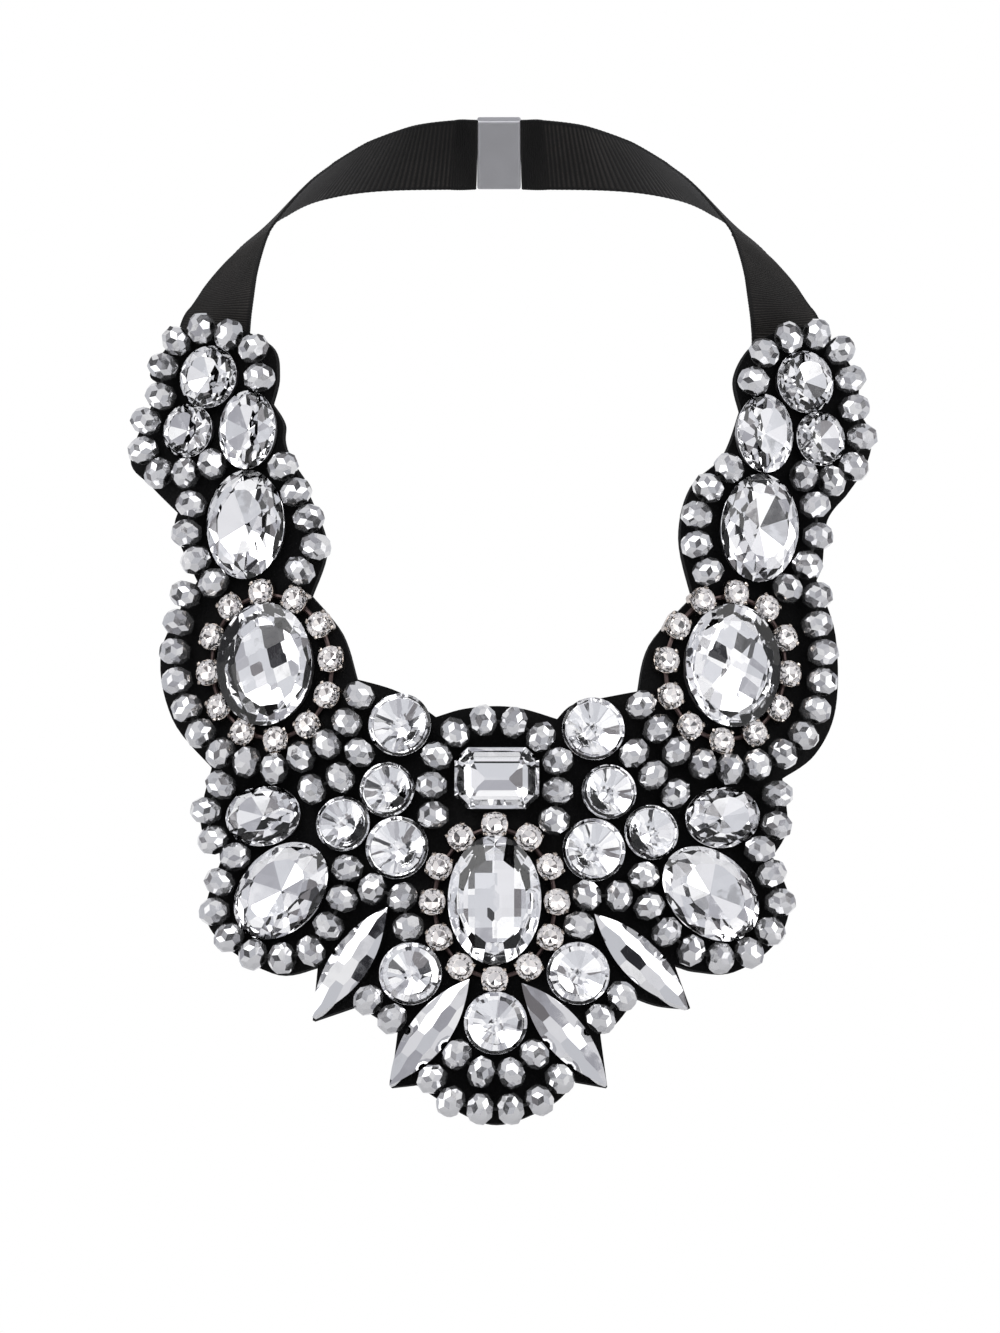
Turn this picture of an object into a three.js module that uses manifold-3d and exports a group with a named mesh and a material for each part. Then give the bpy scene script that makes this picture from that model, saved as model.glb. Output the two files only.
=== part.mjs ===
// Bib necklace: a scalloped felt bib set with cut stones, rhinestone rings and strings of faceted beads,
// tied round the neck by two grosgrain ribbons that meet in a plain clasp.
// Millimetres, +Z up, the front faces -Y. The origin is the inner face of the clasp, at the nape.

import * as THREE from 'three';
import { mergeVertices } from 'three/addons/utils/BufferGeometryUtils.js';
import Module from 'manifold-3d';

const wasm = await Module();
wasm.setup();

// Bib
const BIB_WIDTH = 168;
const BIB_HEIGHT = 180.5;
const FELT_THICKNESS = 2;
const CHEST_RADIUS = 130;
const CHEST_LEAN = THREE.MathUtils.degToRad(10);
const CHEST_FRONT = -90;
const SEAT_GAP = 0.3;
const CLEARANCE = 0.42;

// Neck
const NECK_HALF_WIDTH = 50;
const NECK_DEPTH = 55;
const NECK_DROP = 14.6;
const RIBBON_WIDTH = 18;
const RIBBON_THICKNESS = 1;
const RIBBON_SETBACK = 0.8;
const CLASP_LENGTH = 10;
const CLASP_THICKNESS = 2.4;

// Beads and rhinestone rings
const BEAD_DIAMETER = 7.1;
const BEAD_BELT = 2.2;
const BEAD_NECK = 3.2;
const BEAD_LENGTH = 5.7;
const BEAD_SIDES = 10;
const CUP_WIDTH = 5.9;
const CUP_HEIGHT = 3.3;
const CUPS = 12;
const LINK_DIAMETER = 1.2;
const RING_OUTSET = { across: 3.3, along: 2.9 };

// Cut stones: width and length of the girdle, height over the felt, height of the girdle
const CUTS = {
  large_round: { shape: 'oval', width: 14.2, length: 14.2, height: 5.6, girdle: 2.6, sides: 12 },
  small_round: { shape: 'oval', width: 12.4, length: 12.4, height: 5.2, girdle: 2.4, sides: 12 },
  small_oval: { shape: 'oval', width: 13.8, length: 18, height: 6, girdle: 2.8, sides: 14 },
  medium_oval: { shape: 'oval', width: 19, length: 25, height: 6.8, girdle: 3, sides: 16 },
  large_oval: { shape: 'oval', width: 23, length: 28.2, height: 7.6, girdle: 4.6, sides: 16, ring: true },
  center_oval: { shape: 'oval', width: 21, length: 29.4, height: 7.6, girdle: 4.6, sides: 16, ring: true },
  octagon: { shape: 'octagon', width: 13.4, length: 18.4, height: 6, girdle: 2.8, sides: 8 },
  navette: { shape: 'navette', width: 9.2, length: 29.9, height: 4.8, girdle: 2, sides: 12 },
};

// Profile of a cut stone: breadth as a share of the girdle's, height as a share of the way up
const BASE_BREADTH = 0.84;
const TABLE_BREADTH = 0.56;
const CORNER_CUT = 0.3;

// Profile of a cup with its stone, as shares of its width and height, and how far its sides run straight
const CUP_LEVELS = [
  { breadth: 0.92, height: 0 },
  { breadth: 1, height: 0.7 },
  { breadth: 0.55, height: 1 },
];
const CUP_CORNER = 0.5;

// Places on the bib are read on a chart as it is seen from the front: u to the right, v down
const CHART = { centre: 499, nape: 145, top: 328, width: 746, height: 802 };
const UNIT_ACROSS = BIB_WIDTH / CHART.width;
const UNIT_DOWN = BIB_HEIGHT / CHART.height;

// Stones: place of the girdle's centre, and turn in degrees, counter-clockwise from upright
const STONES = [
  { name: 'left_top_round', cut: 'large_round', u: 206, v: 375, turn: 0 },
  { name: 'left_side_round', cut: 'small_round', u: 185, v: 429, turn: 0 },
  { name: 'left_neck_oval', cut: 'small_oval', u: 247, v: 431, turn: 3 },
  { name: 'left_shoulder_oval', cut: 'medium_oval', u: 245, v: 524, turn: 5 },
  { name: 'left_large_oval', cut: 'large_oval', u: 262, v: 666, turn: 6 },
  { name: 'left_upper_round', cut: 'large_round', u: 402, v: 726, turn: 0 },
  { name: 'left_middle_round', cut: 'small_round', u: 387, v: 790, turn: 0 },
  { name: 'left_outer_round', cut: 'small_round', u: 343, v: 823, turn: 0 },
  { name: 'left_lower_round', cut: 'large_round', u: 398, v: 849, turn: 0 },
  { name: 'left_lying_oval', cut: 'small_oval', u: 264, v: 815, turn: 95 },
  { name: 'left_slanted_oval', cut: 'medium_oval', u: 282, v: 888, turn: -45 },
  { name: 'left_base_round', cut: 'large_round', u: 410, v: 974, turn: 0 },
  { name: 'left_outer_navette', cut: 'navette', u: 351, v: 962, turn: -33 },
  { name: 'left_inner_navette', cut: 'navette', u: 432, v: 1031, turn: -36 },
  { name: 'right_top_round', cut: 'large_round', u: 805, v: 382, turn: 0 },
  { name: 'right_side_round', cut: 'small_round', u: 825, v: 437, turn: 0 },
  { name: 'right_neck_oval', cut: 'small_oval', u: 770, v: 436, turn: -5 },
  { name: 'right_shoulder_oval', cut: 'medium_oval', u: 762, v: 531, turn: -12 },
  { name: 'right_large_oval', cut: 'large_oval', u: 736, v: 669, turn: -6 },
  { name: 'right_upper_round', cut: 'large_round', u: 592, v: 731, turn: 0 },
  { name: 'right_middle_round', cut: 'small_round', u: 609, v: 793, turn: 0 },
  { name: 'right_outer_round', cut: 'small_round', u: 651, v: 832, turn: 0 },
  { name: 'right_lower_round', cut: 'large_round', u: 591, v: 848, turn: 0 },
  { name: 'right_lying_oval', cut: 'small_oval', u: 723, v: 815, turn: 98 },
  { name: 'right_slanted_oval', cut: 'medium_oval', u: 711, v: 890, turn: 50 },
  { name: 'right_base_round', cut: 'large_round', u: 578, v: 973, turn: 0 },
  { name: 'right_outer_navette', cut: 'navette', u: 641, v: 960, turn: 44 },
  { name: 'right_inner_navette', cut: 'navette', u: 563, v: 1034, turn: 39 },
  { name: 'center_octagon', cut: 'octagon', u: 497, v: 777, turn: 90 },
  { name: 'center_large_oval', cut: 'center_oval', u: 497, v: 897, turn: 0 },
  { name: 'center_base_round', cut: 'large_round', u: 495, v: 1022, turn: 0 },
];

// Strings of beads: chosen points of each route on the chart, and the number of beads on it
const STRINGS = [
  { name: 'left_arm_beads', beads: 12, route: [[256, 381], [252, 350], [220, 331], [176, 341], [162, 370],
    [164, 399], [146, 432], [143, 456], [160, 473], [185, 471], [213, 464]] },
  { name: 'left_shoulder_beads', beads: 4, route: [[190, 501], [188, 531], [197, 558], [213, 582]] },
  { name: 'left_outer_beads', beads: 13, route: [[187, 594], [175, 640], [179, 685], [200, 730], [247, 764],
    [301, 760], [347, 724], [361, 695]] },
  { name: 'left_neckline_beads', beads: 5, route: [[283, 467], [308, 518], [312, 549], [298, 574]] },
  { name: 'left_short_beads', beads: 3, route: [[362, 755], [341, 778], [313, 791]] },
  { name: 'left_lower_beads', beads: 13, route: [[219, 782], [210, 811], [217, 840], [238, 858], [219, 885],
    [216, 915], [243, 949], [285, 957], [322, 940], [344, 900], [349, 867]] },
  { name: 'left_corner_beads', beads: 3, route: [[374, 891], [405, 897], [409, 927]] },
  { name: 'left_petal_beads', beads: 2, route: [[370, 998], [395, 1015]] },
  { name: 'right_arm_beads', beads: 11, route: [[758, 387], [761, 359], [790, 336], [831, 347], [847, 377],
    [845, 405], [861, 434], [854, 463], [835, 484], [803, 473]] },
  { name: 'right_shoulder_beads', beads: 4, route: [[816, 501], [816, 530], [808, 561], [785, 583]] },
  { name: 'right_outer_beads', beads: 13, route: [[809, 596], [822, 645], [819, 695], [799, 740], [745, 768],
    [690, 760], [655, 733], [641, 706]] },
  { name: 'right_neckline_beads', beads: 5, route: [[729, 468], [709, 487], [697, 515], [697, 544],
    [707, 573]] },
  { name: 'right_short_beads', beads: 3, route: [[631, 756], [653, 777], [674, 795]] },
  { name: 'right_lower_beads', beads: 12, route: [[777, 794], [774, 828], [751, 850], [771, 876], [775, 905],
    [755, 944], [715, 957], [677, 940], [648, 905], [643, 875]] },
  { name: 'right_corner_beads', beads: 3, route: [[618, 896], [586, 895], [576, 924]] },
  { name: 'right_petal_beads', beads: 2, route: [[621, 995], [600, 1018]] },
  { name: 'center_arch_beads', beads: 10, route: [[431, 816], [434, 775], [455, 732], [498, 719], [540, 736],
    [555, 775], [553, 822]] },
  { name: 'center_inner_beads', beads: 4, route: [[457, 1054], [481, 1071], [511, 1072], [534, 1053]] },
  { name: 'center_outer_beads', beads: 6, route: [[431, 1075], [453, 1098], [496, 1108], [538, 1099],
    [559, 1078]] },
];

// Edge of the felt on the chart, in runs that meet in notches, clockwise from the left arm's top
const FELT_RUNS = [
  [[176, 330], [220, 322], [268, 343], [276, 374], [270, 402]],
  [[270, 402], [282, 422], [284, 447], [311, 503], [325, 548], [310, 595]],
  [[310, 595], [341, 633], [356, 679]],
  [[356, 679], [399, 692], [436, 717]],
  [[436, 717], [463, 709], [496, 706], [524, 709], [557, 719]],
  [[557, 719], [572, 705], [602, 698], [639, 691]],
  [[639, 691], [651, 644], [694, 596]],
  [[694, 596], [681, 537], [693, 486], [726, 454], [743, 410]],
  [[743, 410], [737, 376], [756, 343], [795, 325], [830, 334], [860, 377], [858, 405]],
  [[858, 405], [874, 434], [868, 465], [848, 495]],
  [[848, 495], [829, 520], [824, 563], [818, 580]],
  [[818, 580], [837, 635], [837, 709], [816, 755], [783, 779]],
  [[783, 779], [788, 828], [773, 857]],
  [[773, 857], [790, 902], [776, 943], [737, 971], [699, 971], [674, 964]],
  [[674, 964], [690, 1008]],
  [[690, 1008], [660, 1005], [636, 997]],
  [[636, 997], [616, 1023], [600, 1033]],
  [[600, 1033], [607, 1086]],
  [[607, 1086], [575, 1080]],
  [[575, 1080], [553, 1102], [503, 1122], [465, 1113], [416, 1083]],
  [[416, 1083], [391, 1086]],
  [[391, 1086], [398, 1030]],
  [[398, 1030], [357, 1005]],
  [[357, 1005], [313, 1020]],
  [[313, 1020], [318, 966]],
  [[318, 966], [276, 974], [226, 947], [205, 912], [223, 855]],
  [[223, 855], [206, 842], [200, 815], [211, 768]],
  [[211, 768], [171, 719], [160, 650], [196, 581]],
  [[196, 581], [174, 532], [176, 512]],
  [[176, 512], [149, 485], [128, 458], [150, 402]],
  [[150, 402], [157, 384], [148, 370], [176, 330]],
];
const FELT_RUN_STEPS = 2;
const FELT_CELLS = { across: 17, down: 18 };

// Ribbon stations from the top of the bib's arm to the side of the neck, as shares of that way:
// out, drop and front place the centre line, face and lift aim the ribbon's outer face
const RIBBON_STATIONS = [
  { out: 0.89, drop: 0.78, front: 0.88, face: 0.72, lift: 0.36 },
  { out: 0.77, drop: 0.59, front: 0.7, face: 0.54, lift: 0.48 },
  { out: 0.62, drop: 0.42, front: 0.52, face: 0.36, lift: 0.58 },
  { out: 0.44, drop: 0.26, front: 0.34, face: 0.18, lift: 0.66 },
  { out: 0, drop: 0, front: 0, face: 0, lift: 0.7 },
];
const ARM = { u: 206, tuck: 12 };
const SIDES = [{ name: 'left', sign: -1, spread: 1 }, { name: 'right', sign: 1, spread: 1.012 }];
const RIBBON_STEPS = 26;

// Round the neck: the way the ribbon leaves the shoulder, how far it holds that way, and the shares of
// the hidden stretch that are shaped; at the nape it leans back by NAPE_RISE
const NECK_TURN = { inward: 0.3, back: 0.9, up: 0.3, handle: 0.55 };
const NECK_SHARES = [0.25, 0.5, 0.75, 0.93, 1];
const NAPE_RISE = THREE.MathUtils.degToRad(30);
const NAPE_FACING = new THREE.Vector3(0, Math.cos(NAPE_RISE), Math.sin(NAPE_RISE));

const FELT_FINISH = new THREE.MeshStandardMaterial({ color: 0x0d0d0e, roughness: 0.95, metalness: 0 });
const RIBBON_FINISH = new THREE.MeshStandardMaterial({ color: 0x2b2928, roughness: 0.75, metalness: 0 });
const CLASP_FINISH = new THREE.MeshStandardMaterial({ color: 0x8d8f92, roughness: 0.3, metalness: 1 });
const STONE_FINISH = new THREE.MeshStandardMaterial({ color: 0xdfe3e6, roughness: 0.05, metalness: 0.6 });
const NAVETTE_FINISH = new THREE.MeshStandardMaterial({ color: 0xb4b6b8, roughness: 0.12, metalness: 0.95 });
const RING_FINISH = new THREE.MeshStandardMaterial({ color: 0xb8a999, roughness: 0.2, metalness: 0.8 });
const BEAD_FINISH = new THREE.MeshStandardMaterial({ color: 0xa9abad, roughness: 0.15, metalness: 0.95 });

// Easing: rounds of it, how far a neighbour may be, and the directions that are tried
const EASE_ROUNDS = 60;
const EASE_REACH = 30;
const COMPASS = around(24, 1);

const LEAN_SLOPE = Math.tan(CHEST_LEAN);
const ARM_TOP = (CHART.nape - CHART.top) * UNIT_DOWN;

// The chest: a sheet bowed round the body and leaning out towards its foot
function chestPoint(x, z) {
  const y = CHEST_FRONT + (z - ARM_TOP) * LEAN_SLOPE + (x * x) / (2 * CHEST_RADIUS);
  return new THREE.Vector3(x, y, z);
}

function chestFrame(x, z) {
  const normal = new THREE.Vector3(x / CHEST_RADIUS, -1, LEAN_SLOPE).normalize();
  const right = new THREE.Vector3(1, x / CHEST_RADIUS, 0).normalize();
  const up = new THREE.Vector3().crossVectors(normal, right);
  return { point: chestPoint(x, z), normal, right, up };
}

// Flat pattern of the chest: arc length across and slant length down
function flatten(x, z) {
  const s = x / CHEST_RADIUS;
  const across = (CHEST_RADIUS / 2) * (s * Math.sqrt(1 + s * s) + Math.asinh(s));
  return new THREE.Vector2(across, z / Math.cos(CHEST_LEAN));
}

function unflatten(flat) {
  let x = flat.x;
  for (let step = 0; step < 6; step += 1) {
    x += (flat.x - flatten(x, 0).x) / Math.sqrt(1 + (x / CHEST_RADIUS) ** 2);
  }
  return chestFrame(x, flat.y * Math.cos(CHEST_LEAN));
}

// Flat place of a point that is seen from the front at a height over the felt
function flatPlace([u, v], height) {
  const x = (u - CHART.centre) * UNIT_ACROSS;
  const z = (CHART.nape - v) * UNIT_DOWN;
  let foot = { x, z };
  for (let step = 0; step < 4; step += 1) {
    const { normal } = chestFrame(foot.x, foot.z);
    foot = { x: x - normal.x * height, z: z - normal.z * height };
  }
  return flatten(foot.x, foot.z);
}

function around(count, radius, phase = 0) {
  return Array.from({ length: count }, (_, i) => {
    const angle = ((i + phase) / count) * 2 * Math.PI;
    return new THREE.Vector2(Math.cos(angle) * radius, Math.sin(angle) * radius);
  });
}

// A unit square with its corners cut, counter-clockwise: its sides run straight to x and y
function eightCorners(x, y) {
  return [[1, -y], [1, y], [x, 1], [-x, 1], [-1, y], [-1, -y], [-x, -1], [x, -1]];
}

// Outline of a stone with unit half width and half length, counter-clockwise
function stoneOutline(cut) {
  if (cut.shape === 'octagon') {
    const cutX = 1 - CORNER_CUT * (cut.length / cut.width);
    const cutY = 1 - CORNER_CUT;
    return eightCorners(cutX, cutY).map(([x, y]) => new THREE.Vector2(x, y));
  }
  if (cut.shape === 'navette') {
    return around(cut.sides, 1).map((p) => new THREE.Vector2(Math.sign(p.x) * p.x * p.x, p.y));
  }
  return around(cut.sides, 1, 0.5);
}

// Rings of points lofted into one closed body, each face split along its shorter diagonal
function loft(rings) {
  const points = rings.flat();
  const count = rings[0].length;
  const index = [];
  for (let r = 0; r < rings.length - 1; r += 1) {
    for (let k = 0; k < count; k += 1) {
      const a = r * count + k;
      const b = r * count + ((k + 1) % count);
      const c = b + count;
      const d = a + count;
      if (points[a].distanceTo(points[c]) <= points[b].distanceTo(points[d])) {
        index.push(a, b, c, a, c, d);
      } else {
        index.push(a, b, d, b, c, d);
      }
    }
  }
  const last = (rings.length - 1) * count;
  for (let k = 0; k < (count - 2) / 2; k += 1) {
    const [a, b, c, d] = [k, k + 1, count - 2 - k, count - 1 - k];
    index.push(a, d, c, last + a, last + c, last + d);
    if (b !== c) {
      index.push(a, c, b, last + a, last + b, last + c);
    }
  }
  const geometry = new THREE.BufferGeometry().setFromPoints(points);
  geometry.setIndex(index);
  return geometry;
}

function ringOf(outline, place) {
  return outline.map((p) => place(p.x, p.y));
}

function toSolid(geometry) {
  const bare = geometry.clone();
  bare.deleteAttribute('normal');
  bare.deleteAttribute('uv');
  const merged = mergeVertices(bare, 1e-5);
  return new wasm.Manifold(new wasm.Mesh({
    numProp: 3,
    vertProperties: new Float32Array(merged.attributes.position.array),
    triVerts: new Uint32Array(merged.index.array),
  }));
}

function fromSolid(solid) {
  const mesh = solid.getMesh();
  const geometry = new THREE.BufferGeometry();
  geometry.setAttribute('position', new THREE.BufferAttribute(new Float32Array(mesh.vertProperties), 3));
  geometry.setIndex(new THREE.BufferAttribute(new Uint32Array(mesh.triVerts), 1));
  return geometry;
}

function named(name, geometry, finish) {
  geometry.computeVertexNormals();
  const mesh = new THREE.Mesh(geometry, finish.clone());
  mesh.name = name;
  return mesh;
}

// Layout: every piece that sits on the felt, as a plan outline that can be eased along the felt
function layStone(row) {
  const cut = CUTS[row.cut];
  const turn = THREE.MathUtils.degToRad(row.turn);
  const outline = stoneOutline(cut).map((p) => new THREE.Vector2(p.x * cut.width / 2, p.y * cut.length / 2)
    .rotateAround(new THREE.Vector2(), turn));
  return { ...row, cut, turn, outline, place: flatPlace([row.u, row.v], cut.girdle), ease: 0.25 };
}

// Cups of a ring: evenly spaced round their stone, and carried with it
function layCups(stone) {
  const across = stone.cut.width / 2 + RING_OUTSET.across;
  const along = stone.cut.length / 2 + RING_OUTSET.along;
  const ellipse = new THREE.EllipseCurve(0, 0, across, along, 0, 2 * Math.PI, false, stone.turn);
  return ellipse.getSpacedPoints(CUPS).slice(1).map((offset) => ({
    stone,
    offset,
    outline: around(8, CUP_WIDTH / 2, 0.5),
    ease: stone.ease,
    get place() { return stone.place.clone().add(offset); },
  }));
}

// Beads of a string: evenly spaced along its route
function layBeads(row) {
  const points = row.route.map((place) => flatPlace(place, BEAD_DIAMETER / 2));
  const route = new THREE.SplineCurve(points);
  const beads = route.getSpacedPoints(row.beads - 1).map((place) => ({ string: row.name, place, ease: 1 }));
  beads.forEach((bead, i) => {
    bead.before = beads[i - 1];
    bead.after = beads[i + 1];
    bead.pitch = bead.before ? bead.place.distanceTo(bead.before.place) : 0;
  });
  return beads;
}

function beadAxis(bead) {
  const from = (bead.before ?? bead).place;
  const to = (bead.after ?? bead).place;
  return to.clone().sub(from).normalize();
}

// How far a piece reaches from its centre in a direction
function reach(piece, direction) {
  if (piece.outline) {
    return Math.max(...piece.outline.map((p) => p.dot(direction)));
  }
  const axis = beadAxis(piece);
  const along = Math.abs(axis.dot(direction));
  const aside = Math.abs(axis.cross(direction));
  const belt = along * BEAD_BELT / 2 + aside * BEAD_DIAMETER / 2;
  const end = along * BEAD_LENGTH / 2 + aside * BEAD_NECK / 2;
  return Math.max(belt, end);
}

function shift(piece, direction, distance) {
  const place = piece.stone ? piece.stone.place : piece.place;
  place.addScaledVector(direction, distance);
}

function belongTogether(a, b) {
  const strung = a.string && (a.before === b || a.after === b);
  const sameRing = (a.stone ?? a) === (b.stone ?? b);
  return strung || sameRing;
}

// How much two pieces lack of the clearance, along the direction that parts them best
function tightness(a, b) {
  const between = b.place.clone().sub(a.place);
  const lack = (direction) => (
    reach(a, direction) + reach(b, direction.clone().negate()) + CLEARANCE - between.dot(direction));
  const straight = between.clone().normalize();
  const directions = lack(straight) > 0 ? [straight, ...COMPASS] : [straight];
  return directions.map((direction) => ({ direction, missing: lack(direction) }))
    .reduce((best, next) => (next.missing < best.missing ? next : best));
}

// Pieces that come closer than the clearance are eased apart, and strings keep their spacing
function settle(pieces) {
  const pairs = [];
  pieces.forEach((a, i) => pieces.slice(i + 1).forEach((b) => {
    if (!belongTogether(a, b) && a.place.distanceTo(b.place) < EASE_REACH) {
      pairs.push([a, b]);
    }
  }));
  for (let round = 0; round < EASE_ROUNDS; round += 1) {
    pairs.forEach(([a, b]) => {
      const { direction, missing } = tightness(a, b);
      if (missing > 0) {
        shift(a, direction, -missing * a.ease / (a.ease + b.ease));
        shift(b, direction, missing * b.ease / (a.ease + b.ease));
      }
    });
    pieces.filter((piece) => piece.before).forEach((bead) => {
      const between = bead.place.clone().sub(bead.before.place);
      const slack = between.length() - bead.pitch;
      between.normalize();
      shift(bead, between, -slack / 2);
      shift(bead.before, between, slack / 2);
    });
  }
}

// A cut stone in its setting: a foot, a girdle and a flat table
function makeStone(stone) {
  const { cut, outline } = stone;
  const neck = cut.ring ? [{ breadth: BASE_BREADTH, height: CUP_HEIGHT + SEAT_GAP }] : [];
  const levels = [
    { breadth: BASE_BREADTH, height: 0 },
    ...neck,
    { breadth: 1, height: cut.girdle },
    { breadth: TABLE_BREADTH, height: cut.height },
  ];
  const rings = levels.map(({ breadth, height }) => ringOf(outline, (x, y) => (
    new THREE.Vector3(x * breadth, y * breadth, height))));
  const finish = cut.shape === 'navette' ? NAVETTE_FINISH : STONE_FINISH;
  const mesh = named(stone.name, loft(rings), finish);
  const { point, normal, right, up } = unflatten(stone.place);
  mesh.position.copy(point).addScaledVector(normal, SEAT_GAP);
  mesh.quaternion.setFromRotationMatrix(new THREE.Matrix4().makeBasis(right, up, normal));
  return mesh;
}

// A point of a cup or link, from its chain's direction and its height over the felt
function cupPoint(frame, direction, x, y, height) {
  const along = frame.right.clone().multiplyScalar(direction.x).addScaledVector(frame.up, direction.y);
  const aside = new THREE.Vector3().crossVectors(frame.normal, along);
  return frame.point.clone().addScaledVector(along, x).addScaledVector(aside, y)
    .addScaledVector(frame.normal, SEAT_GAP + height);
}

// A chain of cupped rhinestones round a stone, fused with its links
function makeRing(stone, cups) {
  const half = CUP_WIDTH / 2;
  const square = eightCorners(CUP_CORNER, CUP_CORNER)
    .map(([x, y]) => new THREE.Vector2(x * half, y * half));
  let solid = null;
  const frames = cups.map((cup) => unflatten(cup.place));
  cups.forEach((cup, i) => {
    const next = (i + 1) % cups.length;
    const previous = (i + cups.length - 1) % cups.length;
    const direction = cups[next].place.clone().sub(cups[previous].place).normalize();
    const body = loft(CUP_LEVELS.map(({ breadth, height }) => ringOf(square, (x, y) => (
      cupPoint(frames[i], direction, x * breadth, y * breadth, height * CUP_HEIGHT)))));
    const step = cups[next].place.clone().sub(cup.place).normalize();
    const wire = around(5, LINK_DIAMETER / 2);
    const link = loft([frames[i], frames[next]].map((frame) => ringOf(wire, (x, y) => (
      cupPoint(frame, step, 0, x, LINK_DIAMETER + y)))));
    const joined = toSolid(body).add(toSolid(link));
    solid = solid ? solid.add(joined) : joined;
  });
  return named(`${stone.name.replace('_large_oval', '')}_rhinestone_ring`, fromSolid(solid), RING_FINISH);
}

// A string of rondelle beads, fused at the necks between them
function makeString(row, beads) {
  const height = SEAT_GAP + BEAD_DIAMETER / 2;
  const section = around(BEAD_SIDES, 1, 0.5);
  const frames = beads.map((bead) => {
    const { point, normal, right, up } = unflatten(bead.place);
    const axis = beadAxis(bead);
    const along = right.multiplyScalar(axis.x).addScaledVector(up, axis.y);
    return { centre: point.addScaledVector(normal, height), normal, along };
  });
  const rings = [];
  const addRing = (centre, along, normal, radius) => {
    const aside = new THREE.Vector3().crossVectors(normal, along).normalize();
    rings.push(ringOf(section, (x, y) => centre.clone().addScaledVector(aside, x * radius)
      .addScaledVector(normal, y * radius)));
  };
  frames.forEach((frame, i) => {
    const { centre, along, normal } = frame;
    if (i === 0) {
      addRing(centre.clone().addScaledVector(along, -BEAD_LENGTH / 2), along, normal, BEAD_NECK / 2);
    }
    addRing(centre.clone().addScaledVector(along, -BEAD_BELT / 2), along, normal, BEAD_DIAMETER / 2);
    addRing(centre.clone().addScaledVector(along, BEAD_BELT / 2), along, normal, BEAD_DIAMETER / 2);
    const next = frames[i + 1];
    if (next) {
      const middle = centre.clone().lerp(next.centre, 0.5);
      addRing(middle, along.clone().add(next.along).normalize(), normal, BEAD_NECK / 2);
    } else {
      addRing(centre.clone().addScaledVector(along, BEAD_LENGTH / 2), along, normal, BEAD_NECK / 2);
    }
  });
  return named(row.name, loft(rings), BEAD_FINISH);
}

function chartPoint([u, v]) {
  return new THREE.Vector2((u - CHART.centre) * UNIT_ACROSS, (CHART.nape - v) * UNIT_DOWN);
}

// The felt: a bowed sheet cut to its scalloped edge
function makeFelt() {
  const edge = FELT_RUNS.flatMap((run) => {
    const curve = new THREE.SplineCurve(run.map(chartPoint));
    const steps = run.length > 2 ? (run.length - 1) * FELT_RUN_STEPS : 1;
    return curve.getPoints(steps).slice(1);
  });
  const outline = new THREE.Shape(edge);
  const prism = new THREE.ExtrudeGeometry(outline, { depth: -2 * CHEST_FRONT, bevelEnabled: false });
  prism.rotateX(Math.PI / 2);
  const box = new THREE.Box2().setFromPoints(edge).expandByScalar(FELT_THICKNESS);
  const { across, down } = FELT_CELLS;
  const rows = Array.from({ length: down + 1 }, (_, i) => {
    const z = THREE.MathUtils.lerp(box.min.y, box.max.y, i / down);
    const frames = Array.from({ length: across + 1 }, (__, k) => (
      chestFrame(THREE.MathUtils.lerp(box.min.x, box.max.x, k / across), z)));
    const back = frames.map(({ point, normal }) => point.clone().addScaledVector(normal, -FELT_THICKNESS));
    return [...frames.map(({ point }) => point), ...back.reverse()];
  });
  return named('felt_backing', fromSolid(toSolid(loft(rows)).intersect(toSolid(prism))), FELT_FINISH);
}

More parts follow.
